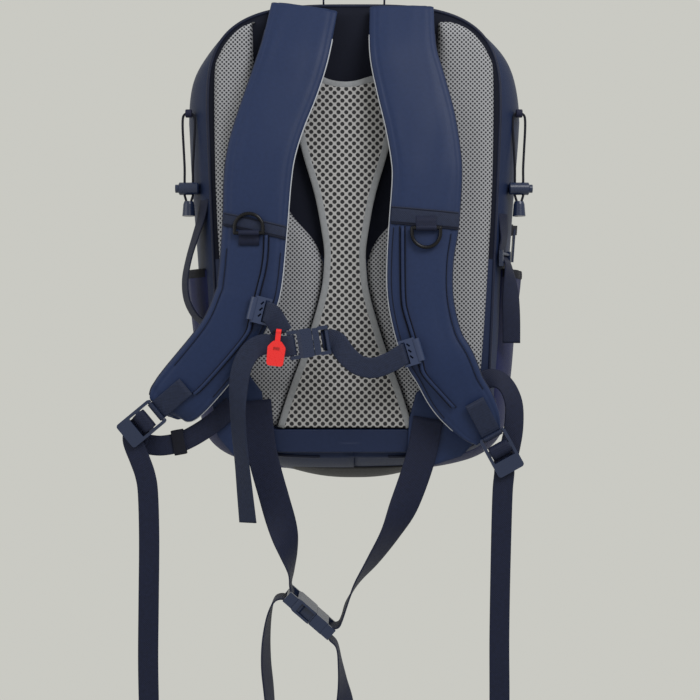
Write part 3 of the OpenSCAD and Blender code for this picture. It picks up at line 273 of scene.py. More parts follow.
PAD_T, STRAP_T, WEBBING_T, WING_T = 14.7, 12, 1.8, 2
web_y = -PAD_T - GAP - WING_T - GAP - WEBBING_T / 2 - PIN_GAP
hip_left = [
    [-97.5, web_y, -444, 1, 0, .1], [-92, web_y - .5, -494, 1, 0, .2], [-79, -20, -543, .95, 0, .3],
    [-70, -21, -574, .8, .4, .2], [-65, -22, -596, .5, .8, .1], [-62.5, -23, -614, .15, 1, 0],
    [-63, -24, -627, 0, 1, 0], [-60.7, -24, -635, 0, 1, 0], [-61.4, -24, -638.9, 0, 1, 0],
    [-65.1, -24, -640.2, 0, 1, 0], [-72.1, -24, -638.5, 0, 1, 0], [-79, -24.5, -642, 0, 1, 0],
    [-84, -25, -656, .1, 1, 0], [-87, -26, -680, .2, 1, 0], [-87, -27, -705, .25, 1, 0],
    [-84.5, -27, -730, .25, 1, 0], [-82, -27, -760, .2, 1, 0], [-81, -27, -790, .2, 1, 0]]
hip_right = [
    [74, web_y, -462, 1, 0, -.2], [67, web_y - .5, -499, 1, 0, -.25], [52, -20, -543, .9, .2, -.4],
    [37, -21, -575, .6, .7, -.4], [19, -22, -603, .4, .9, -.3], [3, -23, -625, .2, 1, -.1],
    [-7, -24, -645, 0, 1, 0], [-12, -24, -660, 0, 1, 0], [-15.6, -24, -666.5, 0, 1, 0],
    [-22.9, -24, -667.8, 0, 1, 0], [-26.6, -24, -669.1, 0, 1, 0], [-27.3, -24, -673, 0, 1, 0],
    [-23.7, -24, -679, 0, 1, 0], [-17, -24, -687, 0, 1, 0], [-14, -24, -705, .1, 1, 0],
    [-11.5, -24, -725, .3, 1, 0], [-9.5, -24, -745, .6, .9, 0], [-9, -24, -768, .8, .7, 0],
    [-9, -24, -790, .9, .6, 0]]
STRAP_OUT, RAIL_R = 47, 1.6
strap_face = -(STRAP_OUT + STRAP_T / 2)
rail_y = strap_face - RAIL_R - 2 * GAP
strap_y = rail_y - 5
chest_left = [
    [-85.8, rail_y - .6, -356.8, .24, 0, .97], [-85.6, rail_y - 4, -356.8, .24, 0, .97],
    [-83.9, rail_y - 6.4, -357.3, .24, 0, .97], [-79.5, strap_y - 1.2, -359.8, .45, 0, .89],
    [-75, strap_y + .6, -366.5, .6, 0, .8], [-71.5, strap_y + 1.5, -373, .64, 0, .77],
    [-68.5, strap_y + 1.7, -377.8, .64, 0, .77]]
chest_tail = [
    [-74, strap_y + 3.6, -391.8, .156, 0, -.988], [-68, strap_y + 3.5, -390.9, .156, 0, -.988],
    [-61.3, strap_y + 3.4, -389.8, .156, 0, -.988], [-58.4, strap_y + 2.8, -389.3, .156, 0, -.988],
    [-57.2, strap_y + 1.2, -389.2, .156, 0, -.988], [-57.2, strap_y - 1.2, -389.2, .156, 0, -.988],
    [-58.4, strap_y - 2.8, -389.3, .156, 0, -.988], [-61.3, strap_y - 3.5, -389.8, .156, 0, -.988],
    [-66, strap_y - 3.8, -390.4, .1, 0, -1], [-76, strap_y - 3.8, -389.8, 0, 0, -1],
    [-88, strap_y - 2.4, -388.8, .3, 0, -1], [-99, strap_y - 2, -395, .7, -.1, -.6],
    [-107, strap_y - 1.8, -408, .9, -.2, -.3], [-111, strap_y - 1, -426, .95, -.3, -.1],
    [-112.3, strap_y + 2, -450, .8, -.6, 0], [-111.5, strap_y + 8, -475, .8, -.7, 0],
    [-109, strap_y + 13, -505, .8, -.7, 0], [-106.5, strap_y + 17, -535, .85, -.6, 0],
    [-104, strap_y + 20, -563, .9, -.5, 0]]
chest_right = [
    [-30.3, strap_y, -384.9, -.156, 0, .988], [-30.3, strap_y + 1.2, -384.9, -.156, 0, .988],
    [-29.1, strap_y + 2.8, -384.7, -.156, 0, .988], [-25.7, strap_y + 4.1, -384.2, -.156, 0, .988],
    [-21.5, strap_y + 4.8, -384, 0, 0, 1], [-16, strap_y + 4.6, -387, .55, 0, .83],
    [-10, strap_y + 2.8, -395.7, .75, 0, .66], [-3, strap_y + .3, -403.3, .65, 0, .76],
    [6, strap_y - .5, -409.3, .3, 0, .95], [20, strap_y - .8, -411, 0, 0, 1],
    [36, strap_y - 1.2, -405, -.4, 0, .92], [44.2, strap_y - 1.6, -399.9, -.35, 0, .94],
    [47.9, rail_y - 6.4, -398, -.29, 0, .96], [49.6, rail_y - 4, -397.4, -.29, 0, .96],
    [49.8, rail_y - .6, -397.3, -.29, 0, .96]]
squeeze_left = [
    [-152.5, 10, -240, -.61, .79, 0], [-155.5, 9.5, -258, -.55, .83, 0], [-161.5, 9, -278, -.5, .86, 0],
    [-168, 8.5, -300, -.45, .89, 0], [-172, 8.5, -322, -.45, .89, 0], [-170.5, 9, -342, -.45, .89, 0],
    [-163, 10, -358, -.5, .86, 0], [-153, 11, -367, -.61, .79, 0]]
squeeze_right = [
    [152, 10, -255, .61, .79, 0], [153, 9.6, -270, .55, .83, 0], [153, 9.4, -281, .45, .89, 0],
    [151.6, 9.4, -289, .45, .89, 0], [151.2, 9.4, -296, .45, .89, 0], [154, 8, -301, .45, .89, 0],
    [156.8, 6.6, -306, .45, .89, 0], [158, 5.5, -315, .6, .8, 0], [159, 4.5, -330, .85, .5, 0],
    [159.5, 4, -345, 1, .2, 0], [160, 4, -365, 1, 0, 0], [160, 4, -387, 1, 0, 0]]
for label, points, width, finish, body, far_end, lay, on_it in (
        ("shoulder_webbing_left", lower_left, 20, nylon, "bag", "object", "loose", []),
        ("shoulder_webbing_right", lower_right, 20, nylon, "bag", "object", "loose", []),
        ("shoulder_tail_left", tail_left, 20, nylon, "bag", "bare", "hanging", []),
        ("shoulder_tail_right", tail_right, 20, nylon, "bag", "bare", "hanging", []),
        ("hip_webbing_left", hip_left, 30, nylon, "bag", "bare", "hanging", ["hip_female"]),
        ("hip_webbing_right", hip_right, 30, nylon, None, "bare", "hanging", ["hip_male"]),
        ("sternum_webbing_left", chest_left, 20, chest_nylon, None, None, None, []),
        ("sternum_webbing_right", chest_right, 20, chest_nylon, None, None, None, []),
        ("sternum_tail", chest_tail, 20, chest_nylon, "sternum_strap", "bare", "hanging", []),
        ("compression_strap_left", squeeze_left, 18, nylon, "bag", "object", "loose", []),
        ("compression_strap_right", squeeze_right, 18, nylon, "bag", "bare", "hanging", [])):
    piece, path = tape(label + "_tape", points, width, WEBBING_T, finish, body, [label])
    cords[label] = piece

# ---- Elastic cords ----
# A doubled elastic with a woven sheath hangs in a loop from a tab on each side seam. Both
# strands pass through a spring lock into a moulded bell end.
elastic = cloth("elastic_sheath", (0.006, 0.007, 0.016), 0.7, 0.0012, 0.0002, 0.02, 0.6)
drop = 77
CORD_X, CORD_Y, CORD_Z = 169, 13, -152
leg = [(2.2, -drop - 18), (2.6, -drop - 12.5), (4.25, -drop - 6.5), (4.25, -drop), (4.25, -drop + 10),
       (4.25, -55), (5.25, -35), (6.25, -15), (5.85, -4), (3.2, -.4)]
for label, x in (("left", -CORD_X), ("right", CORD_X)):
    rope = [(x - a, CORD_Y, CORD_Z + b) for a, b in leg] + [(x, CORD_Y, CORD_Z)] + [
        (x + a, CORD_Y, CORD_Z + b) for a, b in leg[::-1]]
    path = smooth(rope, 5) * MM
    piece = swept("bungee_cord_" + label, path, np.tile([.3, 1, .2], (len(path), 1)),
                  lens(12, 2.5 * MM, 2.5 * MM, 2), elastic)
    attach(piece, "bag")
    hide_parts("bungee_" + label)

# ---- Bag ----
# Smooth navy polyester in three lofted sheets, each 2.5 mm thick with soft wrinkles: the body
# with its flat back, the base with the lower front, and the front panel, which folds down.
RIM, BASE, SHOULDER, HIP, FOLD = -40.0, -522.0, -157.0, -459.0, -282.0
HALF_W, HALF_BASE = 172, 153
DEPTH_TOP, DEPTH_BOTTOM = 110, 185
SLOPE = (DEPTH_BOTTOM - DEPTH_TOP) / (RIM - BASE)
ZIP = 0.45
ZIP_V = 0.4 + 0.3 * (SHOULDER - FOLD) / (SHOULDER - HIP)


def depth(z):
    """Depth of the bag at height z: a straight slope from DEPTH_TOP at the rim."""
    return DEPTH_TOP + (RIM - z) * SLOPE


def skin(v, t, out=0.0):
    """Bag surface in millimetres. v runs round the edge from the top middle (0) to the bottom
    middle (1), negative on the left; t runs through the depth; out stands off the surface.
    Top and bottom corners are superellipse quarters, the sides are straight between them."""
    v, t, out = np.broadcast_arrays(np.asarray(v, float), np.asarray(t, float),
                                    np.asarray(out, float))
    s = abs(v)
    pull = abs(2 * t - 1) ** 3
    back = t < 0.5
    w = HALF_W - np.where(back, 26, 44) * pull + out
    b = HALF_BASE - np.where(back, 20, 35) * pull + out
    top = RIM - np.where(back, 8, 45) * pull + out
    low = BASE + np.where(back, 22, 17) * pull - out
    power = 0.8 - 0.2 * pull * back

    def bend(c):
        return np.sign(c) * np.maximum(abs(c), 1e-9) ** power
    a = np.radians(90 - 225 * s)
    x1, z1 = w * bend(np.cos(a)), SHOULDER + (top - SHOULDER) * bend(np.sin(a))
    f = (s - 0.4) / 0.3
    x2, z2 = w + (b - w) * f, SHOULDER + (HIP - SHOULDER) * f
    a = np.radians(300 * (s - 0.7))
    x3, z3 = b * bend(np.cos(a)), HIP - (HIP - low) * bend(np.sin(a))
    x = np.where(s < 0.4, x1, np.where(s < 0.7, x2, x3))
    z = np.where(s < 0.4, z1, np.where(s < 0.7, z2, z3))
    return np.stack([np.sign(v) * x, t * depth(z), z], -1)


def round_under(v, t, out=0.0):
    """skin() carried on past the bottom middle, so v runs from one side to the other."""
    v = np.asarray(v, float)
    p = skin(np.where(v > 1, 2 - v, v), t, out)
    return p * np.stack([np.where(v > 1, -1, 1), np.ones_like(v), np.ones_like(v)], -1)


def creases(a, b, seed, size):
    """Soft wrinkles: a sum of seven sine ridges in seeded directions, size at the highest."""
    r = np.random.default_rng(seed)
    h = 0
    for k in range(7):
        turn, wave, shift = r.uniform(0, math.tau), r.uniform(0.03, 0.11), r.uniform(0, 9)
        h = h + np.sin(wave * (a * math.cos(turn) + b * math.sin(turn)) + shift
                       + 1.3 * np.sin(0.02 * a + 0.027 * b + k)) / 7
    return size * h


def shell(piece, thick, offset=-1):
    """Gives a sheet its wall with Solidify."""
    wall = piece.modifiers.new("wall", "SOLIDIFY")
    wall.thickness, wall.offset, wall.use_even_offset = thick, offset, False
    return piece


pack_cloth = cloth("pack_cloth", (0.0095, 0.019, 0.06), 0.5, 0.0011, 0.00008, 0.02, 0.75)
# Near-black cloth: painted shade standing in for the shadowed navy behind the back mesh and pads.
painted_shade_cloth = cloth("painted_shade_cloth", (0.0035, 0.005, 0.014), 0.85, 0.0014, 0.0001, 0.0, 0.8)
v = np.linspace(-1, 1, 361)[:, None]
s = np.linspace(0.02, 1, 22)[None, :]
rim = skin(v, 0 * s)
heart = np.array([0, 0, -285.0])
back = heart + (rim - heart) * s[..., None] ** 0.8
t = np.linspace(0, ZIP, 26)[None, 1:]
edge_fade = np.sin(np.pi * np.clip(t / ZIP, 0, 1)) ** 0.5
side = skin(v, t, -0.6 + edge_fade * creases(500 * v, 110 * t, 5, 1.6))
body = shell(surface("bag_body", np.concatenate([back, side], 1) * MM, pack_cloth), 0.0025)
v = np.linspace(ZIP_V, 2 - ZIP_V, 181)[:, None]
t = np.linspace(ZIP, 1, 26)[None, :]
hem = np.sin(np.pi * (t - ZIP) / (1 - ZIP)) ** 0.5
lower = round_under(v, t, -0.6 + hem * creases(500 * v, 130 * t, 6, 1.8))
fold_mid = np.array([0, depth(FOLD), FOLD])
s = np.linspace(1, 0.0, 20)[None, 1:]
face = fold_mid + (round_under(v, 1 + 0 * s) - fold_mid) * s[..., None]
face[..., 1] += 3 * np.sin(np.pi * s) + creases(face[..., 0], face[..., 2], 7, 1.5) * np.sin(np.pi * s)
base = shell(surface("bag_base", np.concatenate([lower, face], 1)[::-1] * MM, pack_cloth), 0.0025)
# The back sheet above z = -0.30 m takes the near-black cloth: painted shade in the gap behind the mesh and
# pads.
body.data.materials.append(painted_shade_cloth)
middle = np.array([p.center for p in body.data.polygons])
body.data.polygons.foreach_set("material_index", (
    (abs(middle[:, 1]) < 0.0006) & (middle[:, 2] > -0.30)).astype(np.int32))
for piece in (body, base):
    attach(piece, "bag")
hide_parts("bag_shell")
v = np.linspace(-ZIP_V, ZIP_V, 241)[:, None]
t = np.linspace(ZIP + 0.01, 1, 26)[None, :]
hem = np.sin(np.pi * np.clip((t - ZIP) / (1 - ZIP), 0, 1)) ** 0.5
upper = skin(v, t, -0.6 + hem * creases(500 * v, 120 * t, 8, 1.8))
face = fold_mid + np.array([0, 0, .6]) + (skin(v, 1 + 0 * s) - fold_mid) * s[..., None]
face[..., 1] += 4 * np.sin(np.pi * s) + creases(face[..., 0], face[..., 2], 9, 1.6) * np.sin(np.pi * s)
flap = np.concatenate([upper, face], 1)[::-1] * MM
flap = shell(surface("front_panel_cloth", flap, pack_cloth), 0.0025)
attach(flap, "front_panel")
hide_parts("front_panel")

# ---- Zip, piping and haul loop ----
# Zip tape along both shells, a piped cord round the back panel and a webbing loop sewn into
# the top edge.
zip_tape = cloth("zip_tape", (0.006, 0.008, 0.02), 0.6, 0.0024, 0.0005, 0.05, 0.4)
for label, near, far, share, body_name, node in (
        ("zip_body_side", ZIP - .045, ZIP - .004, 1, "bag", "zip_chain"),
        ("zip_flap_side", ZIP + .012, ZIP + .05, .985, "front_panel", "flap_zip_chain")):
    v = share * np.linspace(-ZIP_V, ZIP_V, 301)[:, None]
    s = np.linspace(0, 1, 9)[None, :]
    inner = s ** 2 if node == "zip_chain" else (1 - s) ** 2
    run = skin(v, near + (far - near) * s, 0.5 + 0.9 * inner)
    uv = np.stack(np.broadcast_arrays(7e-3 * s, v * 0.5), -1)
    piece = shell(surface(label, run * MM, zip_tape, uv=uv), 0.0008, 1)
    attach(piece, body_name)
    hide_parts(node)
piping_cloth = cloth("piping_cloth", (0.007, 0.011, 0.034), 0.45, 0.0014, 0.0001, 0.02, 0.7)
v = np.linspace(-0.98, 0.98, 321)
path = (skin(v, 0 * v, 1.9) - [0, 1.2, 0]) * MM
piping = swept("rim_cord", path, np.tile([0, 1, 0], (321, 1)), lens(12, .0036, .0036, 2), piping_cloth)
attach(piping, "bag")
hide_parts("rim_piping")
loop_web = cloth("loop_webbing", (0.012, 0.014, 0.045), 0.6, 0.0021, 0.0003, 0.02, 0.5)
half = [(-30.9, -42.6), (-30.9, -30.6), (-28.9, -16), (-21.9, -4), (-11.9, .6)]
tape("haul_loop_tape", [[x, 8, z, 0, 1, 0] for x, z in half] + [[0, 8, .9, 0, 1, 0]] + [
    [-x, 8, z, 0, 1, 0] for x, z in half[::-1]], 20, WEBBING_T, loop_web, "bag", ["haul_loop"])

# ---- Back padding ----
# Two thick foam pads under fine warp-knit mesh flank a stretched panel of coarse mesh, which
# is bound in grey tape. A fabric lumbar strip closes the foot.
holes, holes_in, holes_out = node_group("mesh_holes", [
    ("Vector", "Vector"), ("Pitch Across", "Float"), ("Pitch Down", "Float"), ("Open", "Float")],
    ["Hole", "Height"])
split = holes.nodes.new("ShaderNodeSeparateXYZ")
holes.links.new(holes_in.outputs["Vector"], split.inputs[0])
cells = []
for shift in (0.0, 0.5):
    part = []
    for k, pitch in ((0, "Pitch Across"), (1, "Pitch Down")):
        f = sums(holes, "ADD", sums(holes, "DIVIDE", split.outputs[k], holes_in.outputs[pitch]), shift)
        f = sums(holes, "SUBTRACT", sums(holes, "FRACT", f), 0.5)
        part.append(sums(holes, "MULTIPLY", f, f))
    cells.append(sums(holes, "SQRT", sums(holes, "ADD", part[0], part[1])))
nearest = sums(holes, "MINIMUM", cells[0], cells[1])
ratio = sums(holes, "DIVIDE", nearest, holes_in.outputs["Open"])
soft = sums(holes, "SUBTRACT", 3.8, sums(holes, "MULTIPLY", ratio, 3.2), clamp=True)
holes.links.new(soft, holes_out.inputs["Hole"])
holes.links.new(sums(holes, "SUBTRACT", 1.0, soft), holes_out.inputs["Height"])


def knit(name, thread, hole_shade, pitch, openness, relief):
    """Warp-knit mesh: staggered round holes take a near-black colour, painted shade over the dark layer
    behind.
    """
    finish = bpy.data.materials.new(name)
    finish.use_nodes = True
    tree = finish.node_tree
    look = tree.nodes["Principled BSDF"]
    look.inputs["Roughness"].default_value = 0.75
    lay = tree.nodes.new("ShaderNodeUVMap")
    lay.uv_map = "lay"
    net = tree.nodes.new("ShaderNodeGroup")
    net.node_tree = holes
    net.inputs["Pitch Across"].default_value = pitch
    net.inputs["Pitch Down"].default_value = pitch
    net.inputs["Open"].default_value = openness
    tree.links.new(lay.outputs[0], net.inputs["Vector"])
    mix = tree.nodes.new("ShaderNodeMix")
    mix.data_type = "RGBA"
    mix.inputs["A"].default_value = (*thread, 1)
    mix.inputs["B"].default_value = (*hole_shade, 1)
    tree.links.new(net.outputs["Hole"], mix.inputs["Factor"])
    tree.links.new(mix.outputs["Result"], look.inputs["Base Color"])
    bump = tree.nodes.new("ShaderNodeBump")
    bump.inputs["Distance"].default_value = relief
    tree.links.new(net.outputs["Height"], bump.inputs["Height"])
    tree.links.new(bump.outputs[0], look.inputs["Normal"])
    return finish


def flat_uv(grid):
    """UV map of a grid that faces the wearer: its X and Z in metres."""
    return np.stack([grid[..., 0], grid[..., 2]], -1)


PANEL_X, PANEL_TOP, PANEL_FOOT = -9, -119, -471.5
DIP_R, DIP_Z = 58, -67
panel_edge = smooth([[60, -119], [52, -155], [43, -195], [30, -240], [22, -285], [21, -306],
                     [25, -340], [41, -394], [55, -432], [68, -472]], 8)


def half_panel(z):
    """Half width of the hourglass panel at height z, from the curve through its edge points."""
    return np.interp(-np.asarray(z), -panel_edge[:, 1], panel_edge[:, 0])


def panel_top(x):
    """Top edge of the panel: level, with an arc of radius DIP_R dipping in its middle."""
    d = np.asarray(x, float) - PANEL_X
    arc = DIP_Z - np.sqrt(np.maximum(DIP_R ** 2 - d ** 2, 0))
    return np.minimum(PANEL_TOP, arc)


# The near-black hole colour is painted shade for the gap behind the mesh.
coarse = knit("coarse_mesh", (0.36, 0.355, 0.36), (0.008, 0.008, 0.011), 0.0078, 0.245, 0.0012)
u = np.linspace(-1, 1, 61)[None, :]
k = np.linspace(0, 1, 181)[:, None]
z = PANEL_TOP + (PANEL_FOOT - PANEL_TOP) * k
x = PANEL_X + u * (half_panel(z) - 6)
z = z + (panel_top(x) - PANEL_TOP) * np.exp(-18 * k) - 3.5 * np.exp(-30 * k)
grid = np.stack([x, -9.7 - 2.2 + 0 * x + .5 * u ** 2, z], -1) * MM
panel = shell(surface("back_mesh", grid, coarse, uv=flat_uv(grid)), 0.0014)
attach(panel, "bag")
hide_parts("mesh_panel")
binding_tape = cloth("binding_tape", (0.27, 0.28, 0.3), 0.55, 0.0013, 0.0002, 0.1, 0.75)
z = np.linspace(PANEL_FOOT, PANEL_TOP - 4, 60)
left_run = np.stack([PANEL_X - half_panel(z) + 3.5, z], 1)
x = np.linspace(-52, 52, 41) + PANEL_X
top_run = np.stack([x, panel_top(x) - 3.5 - 1.5 * np.clip(abs(x - PANEL_X) - 46, 0, 6)], 1)
right_run = left_run[::-1] * [-1, 1] + [2 * PANEL_X, 0]
line = smooth(np.vstack([left_run[:-2:3], top_run[1:-1:3], right_run[2::3]]), 3)
path = np.stack([line[:, 0], np.full(len(line), -11.7), line[:, 1]], 1) * MM
across = np.cross(rows_unit(np.gradient(path, axis=0)), [0, 1, 0])
binding = swept("mesh_edge_tape", path, across, lens(12, .0072, .0036, 3.2), binding_tape)
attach(binding, "bag")
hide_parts("mesh_binding")

# The near-black hole colour is painted shade for the depth under the mesh.
fine = knit("fine_mesh", (0.3, 0.305, 0.33), (0.012, 0.013, 0.02), 0.0044, 0.215, 0.0007)
pad_inner = smooth([[94, -62], [90, -130], [78, -200], [59, -249], [31, -284], [22, -306]], 8)
pad_outer = smooth([[122, -470], [126, -440], [131, -380], [136, -304], [140, -223], [141, -120],
                    [136, -96], [124, -78], [111, -68]], 8)
for label, way in (("left", -1), ("right", 1)):
    z = np.linspace(-63.5, -470.5, 150)[:, None]
    near = np.where(z > -306, np.interp(-z, -pad_inner[:, 1], pad_inner[:, 0]),
                    half_panel(z) + .5) + way * PANEL_X
    far = np.interp(z, pad_outer[:, 1], pad_outer[:, 0])
    far = np.where(z > -68, 96 + (111 - 96) * (-62 - z) / 6, far)
    u = np.linspace(0, 1, 46)[None, :]
    q = 0.5 - 0.5 * np.cos(np.pi * u)
    x = near + (far - near) * q
    ends = np.clip(np.minimum(-62 - z, z + 472) / 16, 0, 1)
    crown = (1 - abs(2 * q - 1) ** 5) ** 0.5 * np.sqrt(1 - (1 - ends) ** 2)
    puff = 13.6 * crown + creases(x, z, 20 + way, .35) * crown
    front = np.stack([way * x, -.35 - puff, z + 0 * x], -1)
    rear = np.stack([way * x, -.3 + 0 * puff, z + 0 * x], -1)[:, ::-1]
    ring = np.concatenate([front, rear[:, 1:-1]], 1) * MM
    pad = surface("back_foam_" + label, ring, fine, closed=True, caps=True, uv=flat_uv(ring))
    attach(pad, "bag")
    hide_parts("back_pad_" + label)


def cushion_plate(name, outline, back, thick, finish):
    """Flat sewn piece: rings of its outline shrink to the middle while the face rises on a
    rounded edge. back is the Y of its rear, thick its height towards the wearer."""
    edge_line = np.asarray(outline, float)
    mid_point = edge_line.mean(0)
    f = np.linspace(0, 1, 14)[:, None, None]
    flat = mid_point + (edge_line - mid_point)[None] * (1 - f ** 1.6)
    rise = thick * (1 - (1 - np.minimum(1, 4 * f)) ** 2) ** 0.6
    front = np.concatenate([flat[..., :1], back - rise + 0 * flat[..., :1], flat[..., 1:]], -1)
    rear = np.stack([edge_line[:, 0], np.full(len(edge_line), back), edge_line[:, 1]], 1)[None]
    hub = np.array([[[mid_point[0], back, mid_point[1]]]]) + 0 * rear
    grid = np.concatenate([hub, rear, front], 0) * MM
    return surface(name, grid, finish, closed=True, caps=True, uv=flat_uv(grid))


strip = [[100, -472.8], [-118, -472.8], [-118, -487], [-100, -493.5], [-80, -497],
         [80, -497], [100, -493.5], [104, -487]]
outline = np.vstack([np.linspace(a, b, 12, endpoint=False) for a, b in zip(
    np.array(strip, float), np.array(strip[1:] + strip[:1], float))])
lumbar = cushion_plate("lumbar_pad", outline, -.4, 12.2, pack_cloth)
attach(lumbar, "bag")
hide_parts("lumbar_strip")

# ---- Shoulder straps ----
# Contoured foam straps in smooth navy cloth, shaped by a rounded outline carried along each
# route. A light lining edge runs down the inner side and dark piping down the outer one.
strap_cloth = cloth("strap_cloth", (0.0125, 0.026, 0.082), 0.48, 0.0011, 0.00008, 0.03, 0.75)
lining_edge = cloth("lining_edge", (0.5, 0.52, 0.57), 0.5, 0.0012, 0.0001, 0.02, 0.8)
thread = cloth("sewing_thread", (0.004, 0.006, 0.02), 0.6, 0.0009, 0.0002, 0.0, 0.5)
pad_left = [
    [-50, .17, -50, 68, .7], [-58.5, .56, -97, 69, 1], [-69, .72, -133, 69, 1], [-81.5, .85, -169, 67, 1],
    [-90, .94, -199, 66.5, 1], [-94, .98, -227.5, 66, 1], [-96.5, 1, -273.5, 63.5, 1],
    [-101.5, 1, -329, 62.5, 1], [-108, 1, -351, 60.5, 1], [-125, .97, -384, 58.5, 1],
    [-164.5, .85, -432, 58, 1], [-180, .785, -447, 51, .76], [-186, .72, -452.5, 35, .5],
    [-189, .68, -455, 18, .33]]
pad_right = [
    [48, .17, -50, 65, .7], [48.5, .56, -97, 66.5, 1], [56, .72, -133, 69, 1], [64.5, .85, -169, 69.5, 1],
    [70, .94, -204, 68.5, 1], [71, .98, -228, 68, 1], [68, 1, -270.5, 68, 1], [64.5, 1, -303.5, 65, 1],
    [64, 1, -335.5, 64, 1], [68, 1, -363, 63, 1], [76, 1, -390, 62.5, 1], [88, .97, -410.5, 62, 1],
    [99, .89, -433, 59, 1], [112, .84, -451, 55, .9], [124, .79, -468, 45, .75], [132, .77, -479, 30, .5]]
for label, points in (("left", pad_left), ("right", pad_right)):
    route = smooth(points, 9)
    path = np.stack([route[:, 0], -STRAP_OUT * route[:, 1], route[:, 2]], 1)
    along = rows_unit(np.gradient(path, axis=0))
    side = rows_unit(np.array([1, 0, .001]) - along * along[:, :1])
    face = np.cross(along, side)
    shape = lens(64, 1, 1, 3.6)
    run = np.concatenate([[0], np.cumsum(np.linalg.norm(np.diff(path, axis=0), axis=1))])[:, None]
    wide, thick = route[:, 3:4], STRAP_T * route[:, 4:5]
    across = shape[None, :, 0]
    seam = 1 - .16 * np.exp(-((abs(across) - .405) / .018) ** 2)
    puff = creases(run + 0 * across, 260 * across, 31 + len(points), .7) * (1 - (2 * across) ** 4)
    lift = shape[None, :, 1] * thick * seam + np.sign(shape[None, :, 1]) * (puff - .25)
    grid = (path[:, None] + (across * (wide - .6))[..., None] * side[:, None]
            + lift[..., None] * face[:, None])
    uv = np.stack(np.broadcast_arrays(across * 66 * MM, run * MM), -1)
    pad = surface("shoulder_foam_" + label, grid * MM, strap_cloth, closed=True, caps=True, uv=uv)
    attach(pad, "bag")
    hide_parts("shoulder_pad_" + label)
    inward = 1 if label == "left" else -1
    for edge_name, sign in (("outer", -inward), ("inner", inward)):
        keep = slice(6, -14)
        rim_line = (path + side * sign * (wide / 2 - .9))[keep] * MM
        trim = swept(f"strap_{label}_{edge_name}_edge", rim_line, face[keep], lens(10, .0034, .0026, 2.4),
                     lining_edge if edge_name == "inner" else piping_cloth)
        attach(trim, "bag")

    every = np.concatenate([path, side, face, wide, thick], 1)

    def on_front(row, share, lift=0.0):
        """Point on the strap's front: row along it (fractions blend two rows), share of its
        width from the middle, lift off the cloth."""
        f = np.stack([np.interp(np.ravel(row), np.arange(len(every)), c) for c in every.T], 1)
        share = np.ravel(share)[:, None]
        crown = (1 - abs(2 * share) ** 3.6) ** (1 / 3.6) / 2
        return f[:, :3] + f[:, 3:6] * share * f[:, 9:10] + f[:, 6:9] * (crown * f[:, 10:] + lift)
    high, low, tall = (-268.6, -277.8, 13) if label == "left" else (-265.3, -265.8, 17)
    share = np.linspace(-.48, .48, 61)
    at_z = np.linspace(high, low, 61)
    rows = np.interp(-at_z, -path[:, 2], np.arange(len(path)))
    # The fold line is painted shade: a dark thread-coloured bead along the lower edge of each band.
    for edge_name, shift, size, lift, finish in (
            ("band", 0, (tall, 1.5), .45, chest_nylon),
            ("top_stitch", tall / 2 - 1.6, (.8, .7), 1.1, thread),
            ("low_stitch", 1.6 - tall / 2, (.8, .7), 1.1, thread),
            ("fold", -tall / 2, (1.3, 1), .5, thread)):
        line = (on_front(rows, share, lift) + [0, 0, shift]) * MM
        band = swept(f"chest_{edge_name}_{label}", line, np.tile([0, 0, 1], (61, 1)),
                     lens(12, size[0] * MM, size[1] * MM, 3), finish)
        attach(band, "bag")
    first = float(rows.max()) + 3
    last_row = int(np.argmin(abs(path[:, 2] - (-424 if label == "left" else -446))))
    rows = np.linspace(first, last_row, 120)
    for stitch_name, share_at in (("inner_stitch", .43 * inward), ("outer_stitch", -.4 * inward)):
        line = on_front(rows, np.full(120, share_at), .1) * MM
        row = swept(f"strap_{label}_{stitch_name}", line, np.tile([1, 0, 0], (120, 1)),
                    lens(6, .0009, .0006, 2), thread)
        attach(row, "bag")

# ---- Rails, tabs and patches on the straps ----
# A stiff cord rail lies along each strap's inner edge. Short webbing tabs hold the D-rings and a
# sewn patch each ladder lock. An elastic keeper and the whistle's cord are made here too.
rail_left = [[-85, 0, -283], [-85.7, 0, -302], [-88, 0, -318], [-91, 0, -330], [-94, 0, -342],
             [-97, 0, -354], [-100, 0, -366], [-103.5, 0, -378], [-119, 1, -398], [-146, 5.5, -428],
             [-156, 7.4, -437]]
rail_right = [[46.8, 0, -274], [47, 0, -320], [47.8, 0, -346], [50, 0, -358], [53.6, 0, -370],
              [57.2, 0, -382], [60.8, 0, -394], [64.4, 0, -406], [68.2, .6, -418], [84, 4, -436],
              [97, 7, -450]]
for label, points in (("left", rail_left), ("right", rail_right)):
    path = (smooth(points, 5) + [0, rail_y, 0]) * MM
    rail = swept("strap_rail_" + label, path, np.tile([.3, 1, .2], (len(path), 1)),
                 lens(12, .0032, .0032, 2), strap_cloth)
    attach(rail, "bag")
    if label == "left":
        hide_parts("sternum_rails")
    # Two dark thread-coloured lines beside each rail are painted shade where the rail meets the strap.
    for edge_name, shift in (("near", -2.6), ("far", 2.6)):
        painted_shade_line = swept(f"rail_shade_line_{label}_{edge_name}", path + [shift * MM, .0021, 0],
                       np.tile([1, 0, 0], (len(path), 1)), lens(8, .0013, .0007, 2), thread)
        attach(painted_shade_line, "bag")


def lean_frame(place, degrees):
    """Turns local points about Y by degrees, then moves them to place, in millimetres."""
    a = math.radians(degrees)
    turn_y = np.array([[math.cos(a), 0, -math.sin(a)], [0, 1, 0], [math.sin(a), 0, math.cos(a)]])
    return lambda p: np.asarray(p, float) @ turn_y + place


